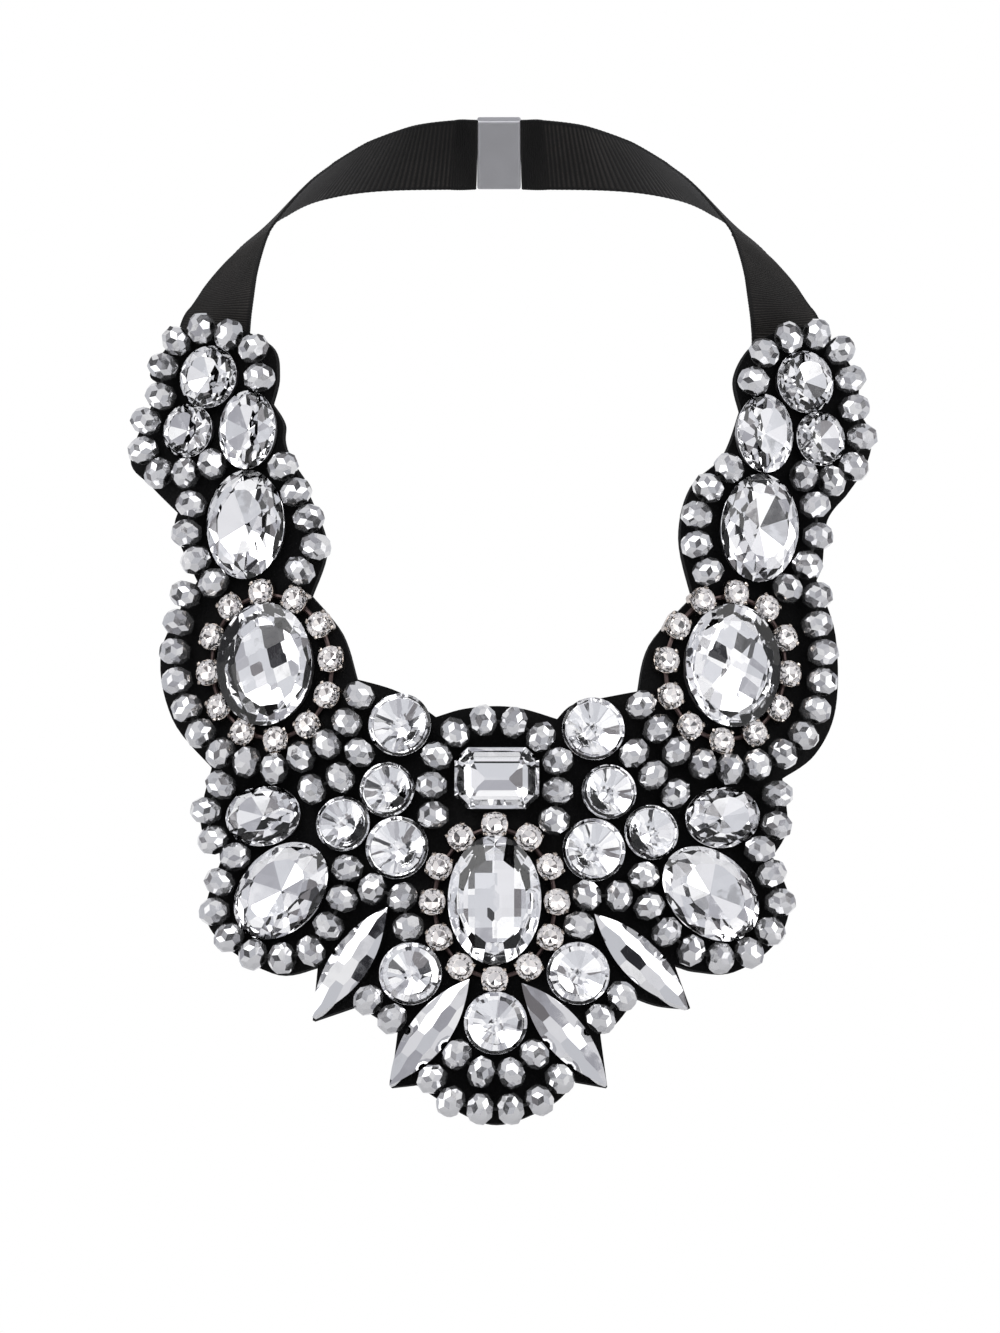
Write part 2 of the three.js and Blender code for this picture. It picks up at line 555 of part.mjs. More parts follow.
// A ribbon: tucked behind the bib's arm, rolling over the shoulder and round the neck to the clasp
function makeRibbon({ name, sign, spread }) {
  const armX = (CHART.centre - ARM.u) * UNIT_ACROSS * spread * sign;
  const tucked = (z) => {
    const { point, normal } = chestFrame(armX, z);
    const depth = FELT_THICKNESS + RIBBON_SETBACK + RIBBON_THICKNESS / 2;
    return { centre: point.addScaledVector(normal, -depth), facing: normal };
  };
  const arm = tucked(ARM_TOP);
  const neckSide = new THREE.Vector3(NECK_HALF_WIDTH * spread * sign, -NECK_DEPTH, -NECK_DROP);
  const visible = RIBBON_STATIONS.map(({ out, drop, front, face, lift }) => ({
    centre: new THREE.Vector3(
      THREE.MathUtils.lerp(neckSide.x, arm.centre.x, out),
      THREE.MathUtils.lerp(neckSide.y, arm.centre.y, front),
      THREE.MathUtils.lerp(neckSide.z, arm.centre.z, drop),
    ),
    facing: new THREE.Vector3(sign * Math.sqrt(1 - face * face - lift * lift), -face, lift),
  }));
  const end = NAPE_FACING.clone().multiplyScalar(RIBBON_THICKNESS / 2);
  end.x = sign * (CLASP_LENGTH / 2 + SEAT_GAP);
  const turn = new THREE.Vector3(-sign * NECK_TURN.inward, NECK_TURN.back, NECK_TURN.up);
  const leaving = neckSide.clone().addScaledVector(turn, NECK_TURN.handle * NECK_DEPTH);
  const arriving = end.clone().setX(end.x + sign * NECK_TURN.handle * NECK_HALF_WIDTH);
  const neck = new THREE.CubicBezierCurve3(neckSide, leaving, arriving, end);
  const straight = NECK_SHARES.at(-2);
  const hidden = NECK_SHARES.map((share) => ({
    centre: neck.getPoint(share),
    facing: visible.at(-1).facing.clone().lerp(NAPE_FACING, Math.min(1, share / straight)).normalize(),
  }));
  const stations = [tucked(ARM_TOP - ARM.tuck), arm, ...visible, ...hidden];
  const path = new THREE.CatmullRomCurve3(stations.map(({ centre }) => centre));
  const aim = new THREE.CatmullRomCurve3(stations.map(({ facing }) => facing));
  const half = new THREE.Vector2(RIBBON_WIDTH / 2, RIBBON_THICKNESS / 2);
  const section = [[-1, -1], [1, -1], [1, 1], [-1, 1]]
    .map(([x, y]) => new THREE.Vector2(x, y).multiply(half));
  const rings = Array.from({ length: RIBBON_STEPS + 1 }, (_, i) => {
    const t = i / RIBBON_STEPS;
    const centre = path.getPoint(t);
    const along = path.getTangent(t);
    const facing = aim.getPoint(t);
    facing.addScaledVector(along, -facing.dot(along)).normalize();
    const aside = new THREE.Vector3().crossVectors(facing, along);
    return ringOf(section, (x, y) => centre.clone().addScaledVector(aside, x).addScaledVector(facing, y));
  });
  return named(`ribbon_${name}`, loft(rings), RIBBON_FINISH);
}

// The clasp: one plain piece between the ribbon ends
function makeClasp() {
  const block = new THREE.BoxGeometry(CLASP_LENGTH, RIBBON_WIDTH, CLASP_THICKNESS);
  const clasp = named('neck_clasp', block, CLASP_FINISH);
  const along = new THREE.Vector3(1, 0, 0);
  const aside = new THREE.Vector3().crossVectors(NAPE_FACING, along);
  clasp.quaternion.setFromRotationMatrix(new THREE.Matrix4().makeBasis(along, aside, NAPE_FACING));
  clasp.position.copy(NAPE_FACING).multiplyScalar(CLASP_THICKNESS / 2);
  return clasp;
}

const stones = STONES.map(layStone);
const rings = stones.filter((stone) => stone.cut.ring).map((stone) => ({ stone, cups: layCups(stone) }));
const strings = STRINGS.map((row) => ({ row, beads: layBeads(row) }));
settle([...stones, ...rings.flatMap((ring) => ring.cups), ...strings.flatMap((string) => string.beads)]);

const necklace = new THREE.Group();
necklace.add(makeFelt(), ...SIDES.map(makeRibbon), makeClasp());
necklace.add(...stones.map(makeStone));
necklace.add(...rings.map(({ stone, cups }) => makeRing(stone, cups)));
necklace.add(...strings.map(({ row, beads }) => makeString(row, beads)));

export default necklace;
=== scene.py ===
"""Bib necklace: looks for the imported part. Metres, +Z up, the front faces -Y.

Places on the felt are complex numbers in its flat pattern: real part across, imaginary part up.
"""

import math
import random

import bmesh
import bpy
from mathutils import Matrix, Vector


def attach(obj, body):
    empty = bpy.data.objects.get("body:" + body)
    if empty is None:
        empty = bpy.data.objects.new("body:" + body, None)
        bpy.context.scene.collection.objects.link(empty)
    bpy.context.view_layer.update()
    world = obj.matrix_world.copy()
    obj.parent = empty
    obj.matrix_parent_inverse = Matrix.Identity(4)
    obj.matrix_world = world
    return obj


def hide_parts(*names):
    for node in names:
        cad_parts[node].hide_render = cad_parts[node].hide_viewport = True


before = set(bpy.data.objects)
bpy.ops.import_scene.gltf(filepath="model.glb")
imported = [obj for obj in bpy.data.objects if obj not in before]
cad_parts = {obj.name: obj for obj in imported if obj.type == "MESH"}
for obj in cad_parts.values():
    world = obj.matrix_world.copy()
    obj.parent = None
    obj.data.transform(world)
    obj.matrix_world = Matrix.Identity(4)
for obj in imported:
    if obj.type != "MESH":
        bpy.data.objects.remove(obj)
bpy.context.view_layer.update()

# Bib
BIB_WIDTH = 0.168
BIB_HEIGHT = 0.1805
FELT_THICKNESS = 0.002
CHEST_RADIUS = 0.13
CHEST_LEAN = math.radians(10)
CHEST_FRONT = -0.09
SEAT_GAP = 0.0003
CLEARANCE = 0.00042

# Neck and ribbons
NECK_HALF_WIDTH = 0.05
NECK_DEPTH = 0.055
NECK_DROP = 0.0146
RIBBON_WIDTH = 0.018
RIBBON_THICKNESS = 0.001
RIBBON_SETBACK = 0.0008
CLASP_LENGTH = 0.01
CLASP_THICKNESS = 0.0024
CLASP_EDGE = 0.0005
CLASP_BORDER = 0.0012
CLASP_STEP = 0.0003

# Beads and rhinestone rings
BEAD_DIAMETER = 0.0071
BEAD_BELT = 0.0022
BEAD_NECK = 0.0032
BEAD_LENGTH = 0.0057
CUP_WIDTH = 0.0059
CUP_HEIGHT = 0.0033
CUPS = 12
LINK_DIAMETER = 0.0012
THREAD_DIAMETER = 0.0007
RING_OUTSET = {"across": 0.0033, "along": 0.0029}

# Cut stones: width and length of the girdle, height over the felt, height of the girdle, sides of the plan
CUTS = {
    "large_round": {"width": 0.0142, "length": 0.0142, "height": 0.0056, "girdle": 0.0026, "sides": 12},
    "small_round": {"width": 0.0124, "length": 0.0124, "height": 0.0052, "girdle": 0.0024, "sides": 12},
    "small_oval": {"width": 0.0138, "length": 0.018, "height": 0.006, "girdle": 0.0028, "sides": 14},
    "medium_oval": {"width": 0.019, "length": 0.025, "height": 0.0068, "girdle": 0.003, "sides": 16},
    "large_oval": {"width": 0.023, "length": 0.0282, "height": 0.0076, "girdle": 0.0046, "sides": 16},
    "center_oval": {"width": 0.021, "length": 0.0294, "height": 0.0076, "girdle": 0.0046, "sides": 16},
    "octagon": {"width": 0.0134, "length": 0.0184, "height": 0.006, "girdle": 0.0028, "sides": 8},
    "navette": {"width": 0.0092, "length": 0.0299, "height": 0.0048, "girdle": 0.002, "sides": 12},
}
RINGED = ("large_oval", "center_oval")
CORNER_CUT = 0.3

# Places are read on a chart of the front: u to the right, v down
CHART = {"centre": 499, "nape": 145, "top": 328, "width": 746, "height": 802}
UNIT_ACROSS = BIB_WIDTH / CHART["width"]
UNIT_DOWN = BIB_HEIGHT / CHART["height"]
LEAN_SLOPE = math.tan(CHEST_LEAN)
ARM_TOP = (CHART["nape"] - CHART["top"]) * UNIT_DOWN

# Stones: place of the girdle's centre, and turn in degrees, counter-clockwise from upright
STONES = [
    {"name": "left_top_round", "cut": "large_round", "u": 206, "v": 375, "turn": 0},
    {"name": "left_side_round", "cut": "small_round", "u": 185, "v": 429, "turn": 0},
    {"name": "left_neck_oval", "cut": "small_oval", "u": 247, "v": 431, "turn": 3},
    {"name": "left_shoulder_oval", "cut": "medium_oval", "u": 245, "v": 524, "turn": 5},
    {"name": "left_large_oval", "cut": "large_oval", "u": 262, "v": 666, "turn": 6},
    {"name": "left_upper_round", "cut": "large_round", "u": 402, "v": 726, "turn": 0},
    {"name": "left_middle_round", "cut": "small_round", "u": 387, "v": 790, "turn": 0},
    {"name": "left_outer_round", "cut": "small_round", "u": 343, "v": 823, "turn": 0},
    {"name": "left_lower_round", "cut": "large_round", "u": 398, "v": 849, "turn": 0},
    {"name": "left_lying_oval", "cut": "small_oval", "u": 264, "v": 815, "turn": 95},
    {"name": "left_slanted_oval", "cut": "medium_oval", "u": 282, "v": 888, "turn": -45},
    {"name": "left_base_round", "cut": "large_round", "u": 410, "v": 974, "turn": 0},
    {"name": "left_outer_navette", "cut": "navette", "u": 351, "v": 962, "turn": -33},
    {"name": "left_inner_navette", "cut": "navette", "u": 432, "v": 1031, "turn": -36},
    {"name": "right_top_round", "cut": "large_round", "u": 805, "v": 382, "turn": 0},
    {"name": "right_side_round", "cut": "small_round", "u": 825, "v": 437, "turn": 0},
    {"name": "right_neck_oval", "cut": "small_oval", "u": 770, "v": 436, "turn": -5},
    {"name": "right_shoulder_oval", "cut": "medium_oval", "u": 762, "v": 531, "turn": -12},
    {"name": "right_large_oval", "cut": "large_oval", "u": 736, "v": 669, "turn": -6},
    {"name": "right_upper_round", "cut": "large_round", "u": 592, "v": 731, "turn": 0},
    {"name": "right_middle_round", "cut": "small_round", "u": 609, "v": 793, "turn": 0},
    {"name": "right_outer_round", "cut": "small_round", "u": 651, "v": 832, "turn": 0},
    {"name": "right_lower_round", "cut": "large_round", "u": 591, "v": 848, "turn": 0},
    {"name": "right_lying_oval", "cut": "small_oval", "u": 723, "v": 815, "turn": 98},
    {"name": "right_slanted_oval", "cut": "medium_oval", "u": 711, "v": 890, "turn": 50},
    {"name": "right_base_round", "cut": "large_round", "u": 578, "v": 973, "turn": 0},
    {"name": "right_outer_navette", "cut": "navette", "u": 641, "v": 960, "turn": 44},
    {"name": "right_inner_navette", "cut": "navette", "u": 563, "v": 1034, "turn": 39},
    {"name": "center_octagon", "cut": "octagon", "u": 497, "v": 777, "turn": 90},
    {"name": "center_large_oval", "cut": "center_oval", "u": 497, "v": 897, "turn": 0},
    {"name": "center_base_round", "cut": "large_round", "u": 495, "v": 1022, "turn": 0},
]

# Strings of beads: number of beads, and chosen points of each route on the chart
STRINGS = [
    {"name": "left_arm_beads", "beads": 12, "route": [
        (256, 381), (252, 350), (220, 331), (176, 341), (162, 370), (164, 399),
        (146, 432), (143, 456), (160, 473), (185, 471), (213, 464)]},
    {"name": "left_shoulder_beads", "beads": 4, "route": [(190, 501), (188, 531), (197, 558), (213, 582)]},
    {"name": "left_outer_beads", "beads": 13, "route": [
        (187, 594), (175, 640), (179, 685), (200, 730), (247, 764), (301, 760), (347, 724), (361, 695)]},
    {"name": "left_neckline_beads", "beads": 5, "route": [(283, 467), (308, 518), (312, 549), (298, 574)]},
    {"name": "left_short_beads", "beads": 3, "route": [(362, 755), (341, 778), (313, 791)]},
    {"name": "left_lower_beads", "beads": 13, "route": [
        (219, 782), (210, 811), (217, 840), (238, 858), (219, 885), (216, 915),
        (243, 949), (285, 957), (322, 940), (344, 900), (349, 867)]},
    {"name": "left_corner_beads", "beads": 3, "route": [(374, 891), (405, 897), (409, 927)]},
    {"name": "left_petal_beads", "beads": 2, "route": [(370, 998), (395, 1015)]},
    {"name": "right_arm_beads", "beads": 11, "route": [
        (758, 387), (761, 359), (790, 336), (831, 347), (847, 377),
        (845, 405), (861, 434), (854, 463), (835, 484), (803, 473)]},
    {"name": "right_shoulder_beads", "beads": 4, "route": [(816, 501), (816, 530), (808, 561), (785, 583)]},
    {"name": "right_outer_beads", "beads": 13, "route": [
        (809, 596), (822, 645), (819, 695), (799, 740), (745, 768), (690, 760), (655, 733), (641, 706)]},
    {"name": "right_neckline_beads", "beads": 5, "route": [
        (729, 468), (709, 487), (697, 515), (697, 544), (707, 573)]},
    {"name": "right_short_beads", "beads": 3, "route": [(631, 756), (653, 777), (674, 795)]},
    {"name": "right_lower_beads", "beads": 12, "route": [
        (777, 794), (774, 828), (751, 850), (771, 876), (775, 905),
        (755, 944), (715, 957), (677, 940), (648, 905), (643, 875)]},
    {"name": "right_corner_beads", "beads": 3, "route": [(618, 896), (586, 895), (576, 924)]},
    {"name": "right_petal_beads", "beads": 2, "route": [(621, 995), (600, 1018)]},
    {"name": "center_arch_beads", "beads": 10, "route": [
        (431, 816), (434, 775), (455, 732), (498, 719), (540, 736), (555, 775), (553, 822)]},
    {"name": "center_inner_beads", "beads": 4, "route": [(457, 1054), (481, 1071), (511, 1072), (534, 1053)]},
    {"name": "center_outer_beads", "beads": 6, "route": [
        (431, 1075), (453, 1098), (496, 1108), (538, 1099), (559, 1078)]},
]

# Edge of the felt, in runs that meet in notches, clockwise from the left arm's top
FELT_RUNS = [
    [(176, 330), (220, 322), (268, 343), (276, 374), (270, 402)],
    [(270, 402), (282, 422), (284, 447), (311, 503), (325, 548), (310, 595)],
    [(310, 595), (341, 633), (356, 679)],
    [(356, 679), (399, 692), (436, 717)],
    [(436, 717), (463, 709), (496, 706), (524, 709), (557, 719)],
    [(557, 719), (572, 705), (602, 698), (639, 691)],
    [(639, 691), (651, 644), (694, 596)],
    [(694, 596), (681, 537), (693, 486), (726, 454), (743, 410)],
    [(743, 410), (737, 376), (756, 343), (795, 325), (830, 334), (860, 377), (858, 405)],
    [(858, 405), (874, 434), (868, 465), (848, 495)],
    [(848, 495), (829, 520), (824, 563), (818, 580)],
    [(818, 580), (837, 635), (837, 709), (816, 755), (783, 779)],
    [(783, 779), (788, 828), (773, 857)],
    [(773, 857), (790, 902), (776, 943), (737, 971), (699, 971), (674, 964)],
    [(674, 964), (690, 1008)],
    [(690, 1008), (660, 1005), (636, 997)],
    [(636, 997), (616, 1023), (600, 1033)],
    [(600, 1033), (607, 1086)],
    [(607, 1086), (575, 1080)],
    [(575, 1080), (553, 1102), (503, 1122), (465, 1113), (416, 1083)],
    [(416, 1083), (391, 1086)],
    [(391, 1086), (398, 1030)],
    [(398, 1030), (357, 1005)],
    [(357, 1005), (313, 1020)],
    [(313, 1020), (318, 966)],
    [(318, 966), (276, 974), (226, 947), (205, 912), (223, 855)],
    [(223, 855), (206, 842), (200, 815), (211, 768)],
    [(211, 768), (171, 719), (160, 650), (196, 581)],
    [(196, 581), (174, 532), (176, 512)],
    [(176, 512), (149, 485), (128, 458), (150, 402)],
    [(150, 402), (157, 384), (148, 370), (176, 330)],
]
FELT_RUN_STEPS = 7
FELT_CELL = 0.005

# Points closer than these become one where a plane cuts the felt, or grinds a stone at unit radius
FELT_MERGE = 1e-6
GRIND_MERGE = 1e-7

# Ribbon stations from the top of the bib's arm to the side of the neck, as shares of that way:
# out, drop and front place the centre line, face and lift aim the ribbon's outer face
RIBBON_STATIONS = [
    {"out": 0.89, "drop": 0.78, "front": 0.88, "face": 0.72, "lift": 0.36},
    {"out": 0.77, "drop": 0.59, "front": 0.7, "face": 0.54, "lift": 0.48},
    {"out": 0.62, "drop": 0.42, "front": 0.52, "face": 0.36, "lift": 0.58},
    {"out": 0.44, "drop": 0.26, "front": 0.34, "face": 0.18, "lift": 0.66},
    {"out": 0, "drop": 0, "front": 0, "face": 0, "lift": 0.7},
]
ARM = {"u": 206, "tuck": 0.012}
SIDES = [{"name": "left", "sign": -1, "spread": 1}, {"name": "right", "sign": 1, "spread": 1.012}]

# Round the neck: the way the ribbon leaves the shoulder, how far it holds that way, and the shares of
# the hidden stretch that are shaped; at the nape it leans back by NAPE_RISE
NECK_TURN = {"inward": 0.3, "back": 0.9, "up": 0.3, "handle": 0.55}
NECK_SHARES = [0.25, 0.5, 0.75, 0.93, 1]
NAPE_RISE = math.radians(30)
NAPE_FACING = Vector((0, math.cos(NAPE_RISE), math.sin(NAPE_RISE)))

# Easing of the layout, as it is done for the solids
EASE_ROUNDS = 60
EASE_REACH = 0.03
STONE_EASE = 0.25
BEAD_EASE = 1

# Points that a curve is measured by
CURVE_SAMPLES = 200


def unit(turn):
    """Flat direction at an angle in radians, counter-clockwise from the right."""
    return complex(math.cos(turn), math.sin(turn))


def around(count, radius, phase=0.0):
    """Points of a circle as complex numbers."""
    return [unit((i + phase) / count * 2 * math.pi) * radius for i in range(count)]


COMPASS = around(24, 1)


def chest_frame(x, z):
    """Place on the felt's face as a matrix: right, up and outward directions, and the point."""
    y = CHEST_FRONT + (z - ARM_TOP) * LEAN_SLOPE + x * x / (2 * CHEST_RADIUS)
    outward = Vector((x / CHEST_RADIUS, -1, LEAN_SLOPE)).normalized()
    right = Vector((1, x / CHEST_RADIUS, 0)).normalized()
    place = Matrix((right, outward.cross(right), outward)).transposed().to_4x4()
    place.translation = (x, y, z)
    return place


def flatten(x, z):
    """Flat pattern of the chest: arc length across and slant length up."""
    s = x / CHEST_RADIUS
    across = CHEST_RADIUS / 2 * (s * math.sqrt(1 + s * s) + math.asinh(s))
    return complex(across, z / math.cos(CHEST_LEAN))


def unflatten(flat):
    """The chest frame at a place of the flat pattern."""
    x = flat.real
    for _ in range(6):
        x += (flat.real - flatten(x, 0).real) / math.sqrt(1 + (x / CHEST_RADIUS) ** 2)
    return chest_frame(x, flat.imag * math.cos(CHEST_LEAN))


def chart_point(u, v):
    """Place on the front view, as metres from the nape, of a place on the chart."""
    return complex((u - CHART["centre"]) * UNIT_ACROSS, (CHART["nape"] - v) * UNIT_DOWN)


def flat_place(u, v, height):
    """Flat place of a point that is seen from the front at a height over the felt."""
    seen = chart_point(u, v)
    foot = seen
    for _ in range(4):
        outward = chest_frame(foot.real, foot.imag).col[2]
        foot = seen - complex(outward.x, outward.z) * height
    return flatten(foot.real, foot.imag)


def cubic_point(start, end, leave, arrive, w):
    """Point at share w of a cubic from start to end, with its slopes at both."""
    cubic = (2 * start - 2 * end + leave + arrive) * w ** 3
    return cubic + (-3 * start + 3 * end - 2 * leave - arrive) * w * w + leave * w + start


def spline(points, t):
    """Uniform Catmull-Rom spline through points, its ends repeated."""
    last = len(points) - 1
    i = min(int(last * t), last)
    before, start = points[max(i - 1, 0)], points[i]
    end, after = points[min(i + 1, last)], points[min(i + 2, last)]
    return cubic_point(start, end, (end - before) * 0.5, (after - start) * 0.5, last * t - i)


def spaced(curve, count):
    """Points of a curve at count + 1 places, equally far apart along it."""
    line = [curve(i / CURVE_SAMPLES) for i in range(CURVE_SAMPLES + 1)]
    lengths = [0.0]
    for a, b in zip(line, line[1:]):
        lengths.append(lengths[-1] + abs(b - a))
    points = []
    i = 0
    for k in range(count + 1):
        goal = lengths[-1] * k / count
        while i < CURVE_SAMPLES - 1 and lengths[i + 1] < goal:
            i += 1
        share = (goal - lengths[i]) / (lengths[i + 1] - lengths[i])
        points.append(curve((i + share) / CURVE_SAMPLES))
    return points


def along(a, b):
    """Dot product of two flat directions."""
    return (a * b.conjugate()).real


def across(a, b):
    """Cross product of two flat directions."""
    return (a.conjugate() * b).imag


def octagon_corners(x, y):
    """A unit square with its corners cut, its sides running straight to x and y."""
    corners = ((1, -y), (1, y), (x, 1), (-x, 1), (-1, y), (-1, -y), (-x, -1), (x, -1))
    return [complex(*corner) for corner in corners]


def navette_outline(count):
    """Points of a unit circle, drawn in to the slim shape of a navette."""
    return [complex(math.copysign(p.real ** 2, p.real), p.imag) for p in around(count, 1)]


def stone_plan(name):
    """Plan of a cut with unit half width and half length."""
    cut = CUTS[name]
    if name == "octagon":
        return octagon_corners(1 - CORNER_CUT * cut["length"] / cut["width"], 1 - CORNER_CUT)
    if name == "navette":
        return navette_outline(cut["sides"])
    return around(cut["sides"], 1, 0.5)


class Piece:
    """A stone, cup or bead on the felt, which can be eased along it."""

    def __init__(self, place, ease, outline=None):
        self.own_place = place
        self.ease = ease
        self.outline = outline
        self.size = max(abs(p) for p in outline) if outline else BEAD_DIAMETER
        self.stone = None
        self.offset = 0
        self.before = None
        self.after = None
        self.pitch = 0

    @property
    def place(self):
        """Where it lies now: a cup goes with its stone."""
        return self.stone.own_place + self.offset if self.stone else self.own_place

    def shift(self, step):
        """Moves it, or the stone that carries it."""
        (self.stone or self).own_place += step

    def axis(self):
        """Direction of the string at a bead."""
        between = (self.after or self).place - (self.before or self).place
        return between / abs(between)

    def reach(self, direction):
        """How far it reaches from its place in a direction."""
        if self.outline:
            return max(along(p, direction) for p in self.outline)
        axis = self.axis()
        lengthwise, sideways = abs(along(axis, direction)), abs(across(axis, direction))
        belt = lengthwise * BEAD_BELT / 2 + sideways * BEAD_DIAMETER / 2
        end = lengthwise * BEAD_LENGTH / 2 + sideways * BEAD_NECK / 2
        return max(belt, end)


def lay_stone(row):
    """A stone at its place in the flat pattern, with its plan turned as it lies."""
    cut = CUTS[row["cut"]]
    turn = unit(math.radians(row["turn"]))
    half_width, half_length = cut["width"] / 2, cut["length"] / 2
    plan = [complex(p.real * half_width, p.imag * half_length) * turn for p in stone_plan(row["cut"])]
    return Piece(flat_place(row["u"], row["v"], cut["girdle"]), STONE_EASE, plan)


def lay_cups(row, stone):
    """Cups of a ring: evenly spaced round their stone, and carried with it."""
    cut = CUTS[row["cut"]]
    half_across = cut["width"] / 2 + RING_OUTSET["across"]
    half_along = cut["length"] / 2 + RING_OUTSET["along"]
    turn = unit(math.radians(row["turn"]))

    def ellipse(t):
        point = unit(2 * math.pi * t)
        return complex(half_across * point.real, half_along * point.imag) * turn

    cups = []
    for offset in spaced(ellipse, CUPS)[1:]:
        cup = Piece(0, STONE_EASE, around(8, CUP_WIDTH / 2, 0.5))
        cup.stone = stone
        cup.offset = offset
        cups.append(cup)
    return cups


def lay_beads(row):
    """Beads of a string: evenly spaced along its route."""
    route = [flat_place(u, v, BEAD_DIAMETER / 2) for u, v in row["route"]]
    places = spaced(lambda t: spline(route, t), row["beads"] - 1)
    beads = [Piece(place, BEAD_EASE) for place in places]
    for one, next_one in zip(beads, beads[1:]):
        one.after = next_one
        next_one.before = one
        next_one.pitch = abs(next_one.place - one.place)
    return beads


def belong_together(a, b):
    """Neighbours on a string, and the cups of one ring with their stone."""
    return a.before is b or a.after is b or (a.stone or a) is (b.stone or b)


def tightness(a, b):
    """How much two pieces lack of the clearance, along the direction that parts them best."""
    between = b.place - a.place
    if abs(between) > a.size + b.size + CLEARANCE:
        return None, 0

    def lack(direction):
        return a.reach(direction) + b.reach(-direction) + CLEARANCE - along(between, direction)

    straight = between / abs(between)
    best, missing = straight, lack(straight)
    if missing > 0:
        for direction in COMPASS:
            other = lack(direction)
            if other < missing:
                best, missing = direction, other
    return best, missing


def settle(pieces):
    """Pieces that come closer than the clearance are eased apart, and strings keep their spacing."""
    pairs = [(a, b) for i, a in enumerate(pieces) for b in pieces[i + 1:]
             if not belong_together(a, b) and abs(a.place - b.place) < EASE_REACH]
    strung = [piece for piece in pieces if piece.before]
    for _ in range(EASE_ROUNDS):
        for a, b in pairs:
            direction, missing = tightness(a, b)
            if missing > 0:
                a.shift(-direction * missing * a.ease / (a.ease + b.ease))
                b.shift(direction * missing * b.ease / (a.ease + b.ease))
        for bead in strung:
            between = bead.place - bead.before.place
            slack = abs(between) - bead.pitch
            step = between / abs(between) * slack / 2
            bead.shift(-step)
            bead.before.shift(step)


def drum(sides, bottom, top, foot=1.0, rim=1.0):
    """A closed round blank along Z, with the radius of its foot and rim."""
    bm = bmesh.new()
    bmesh.ops.create_cone(
        bm, cap_ends=True, segments=sides, radius1=foot, radius2=rim, depth=top - bottom,
        matrix=Matrix.Translation((0, 0, (top + bottom) / 2)))
    return bm


def end_face(bm, side=1):
    """The topmost face, or the lowest where side is -1."""
    return max(bm.faces, key=lambda face: face.calc_center_median().z * side)


def paint(bm, material):
    """Gives all faces one of the piece's materials, by its number."""
    for face in bm.faces:
        face.material_index = material


def split(bm, point, normal, **options):
    """Cuts all of a mesh along a plane."""
    everything = bm.verts[:] + bm.edges[:] + bm.faces[:]
    return bmesh.ops.bisect_plane(bm, geom=everything, plane_co=point, plane_no=normal, **options)


def slice_off(bm, point, normal, material):
    """Grinds away what lies beyond a plane and closes the cut with one flat facet."""
    ground = split(bm, point, normal.normalized(), dist=GRIND_MERGE, clear_outer=True)
    rim = [part for part in ground["geom_cut"] if isinstance(part, bmesh.types.BMEdge)]
    if rim:
        bmesh.ops.edgeloop_fill(bm, edges=rim, mat_nr=material)


def grind_row(bm, row, material):
    """A row of equal facets round the axis, each through an outer and an inner place of the profile."""
    outer, inner = row["outer"], row["inner"]
    fall = 1 if inner[1] > outer[1] else -1
    normal = Vector((inner[1] - outer[1], 0, outer[0] - inner[0])) * fall
    for i in range(row["count"]):
        turn = Matrix.Rotation((i + row["phase"]) / row["count"] * 2 * math.pi, 3, "Z")
        slice_off(bm, turn @ Vector((outer[0], 0, outer[1])), turn @ normal, material)


# Numbers of the materials on stones and rings, and on strings
GLASS, FOIL, CUP, LINK = range(4)
BEAD, THREAD_AND_HOLE_SHADE = range(2)
UP = Vector((0, 0, 1))

# Cuts at unit radius: heights run from 0 at the girdle to 1 at the table and -1 at the foot
CROWNS = {
    "brilliant": {"table": 1, "rows": [
        {"count": 8, "phase": 0.5, "outer": (1, 0.07), "inner": (0.6, 1)},
        {"count": 8, "phase": 0, "outer": (0.8, 0.62), "inner": (0.58, 1)},
        {"count": 16, "phase": 0.5, "outer": (1, 0.05), "inner": (0.83, 0.58)},
    ]},
    "rivoli": {"table": 0.99, "rows": [
        {"count": 18, "phase": 0, "outer": (0.86, 0.3), "inner": (0, 1)},
        {"count": 36, "phase": 0.5, "outer": (1, 0.05), "inner": (0.84, 0.33)},
    ]},
    "deep_rivoli": {"table": 0.99, "rows": [
        {"count": 12, "phase": 0, "outer": (0.72, 0.5), "inner": (0, 1)},
        {"count": 24, "phase": 0.5, "outer": (1, 0.1), "inner": (0.7, 0.52)},
    ]},
    "rhinestone": {"table": 0.99, "rows": [
        {"count": 8, "phase": 0.5, "outer": (1, 0.07), "inner": (0.5, 1)},
        {"count": 8, "phase": 0, "outer": (0.8, 0.5), "inner": (0.48, 1)},
        {"count": 16, "phase": 0.5, "outer": (1, 0.04), "inner": (0.83, 0.45)},
    ]},
}
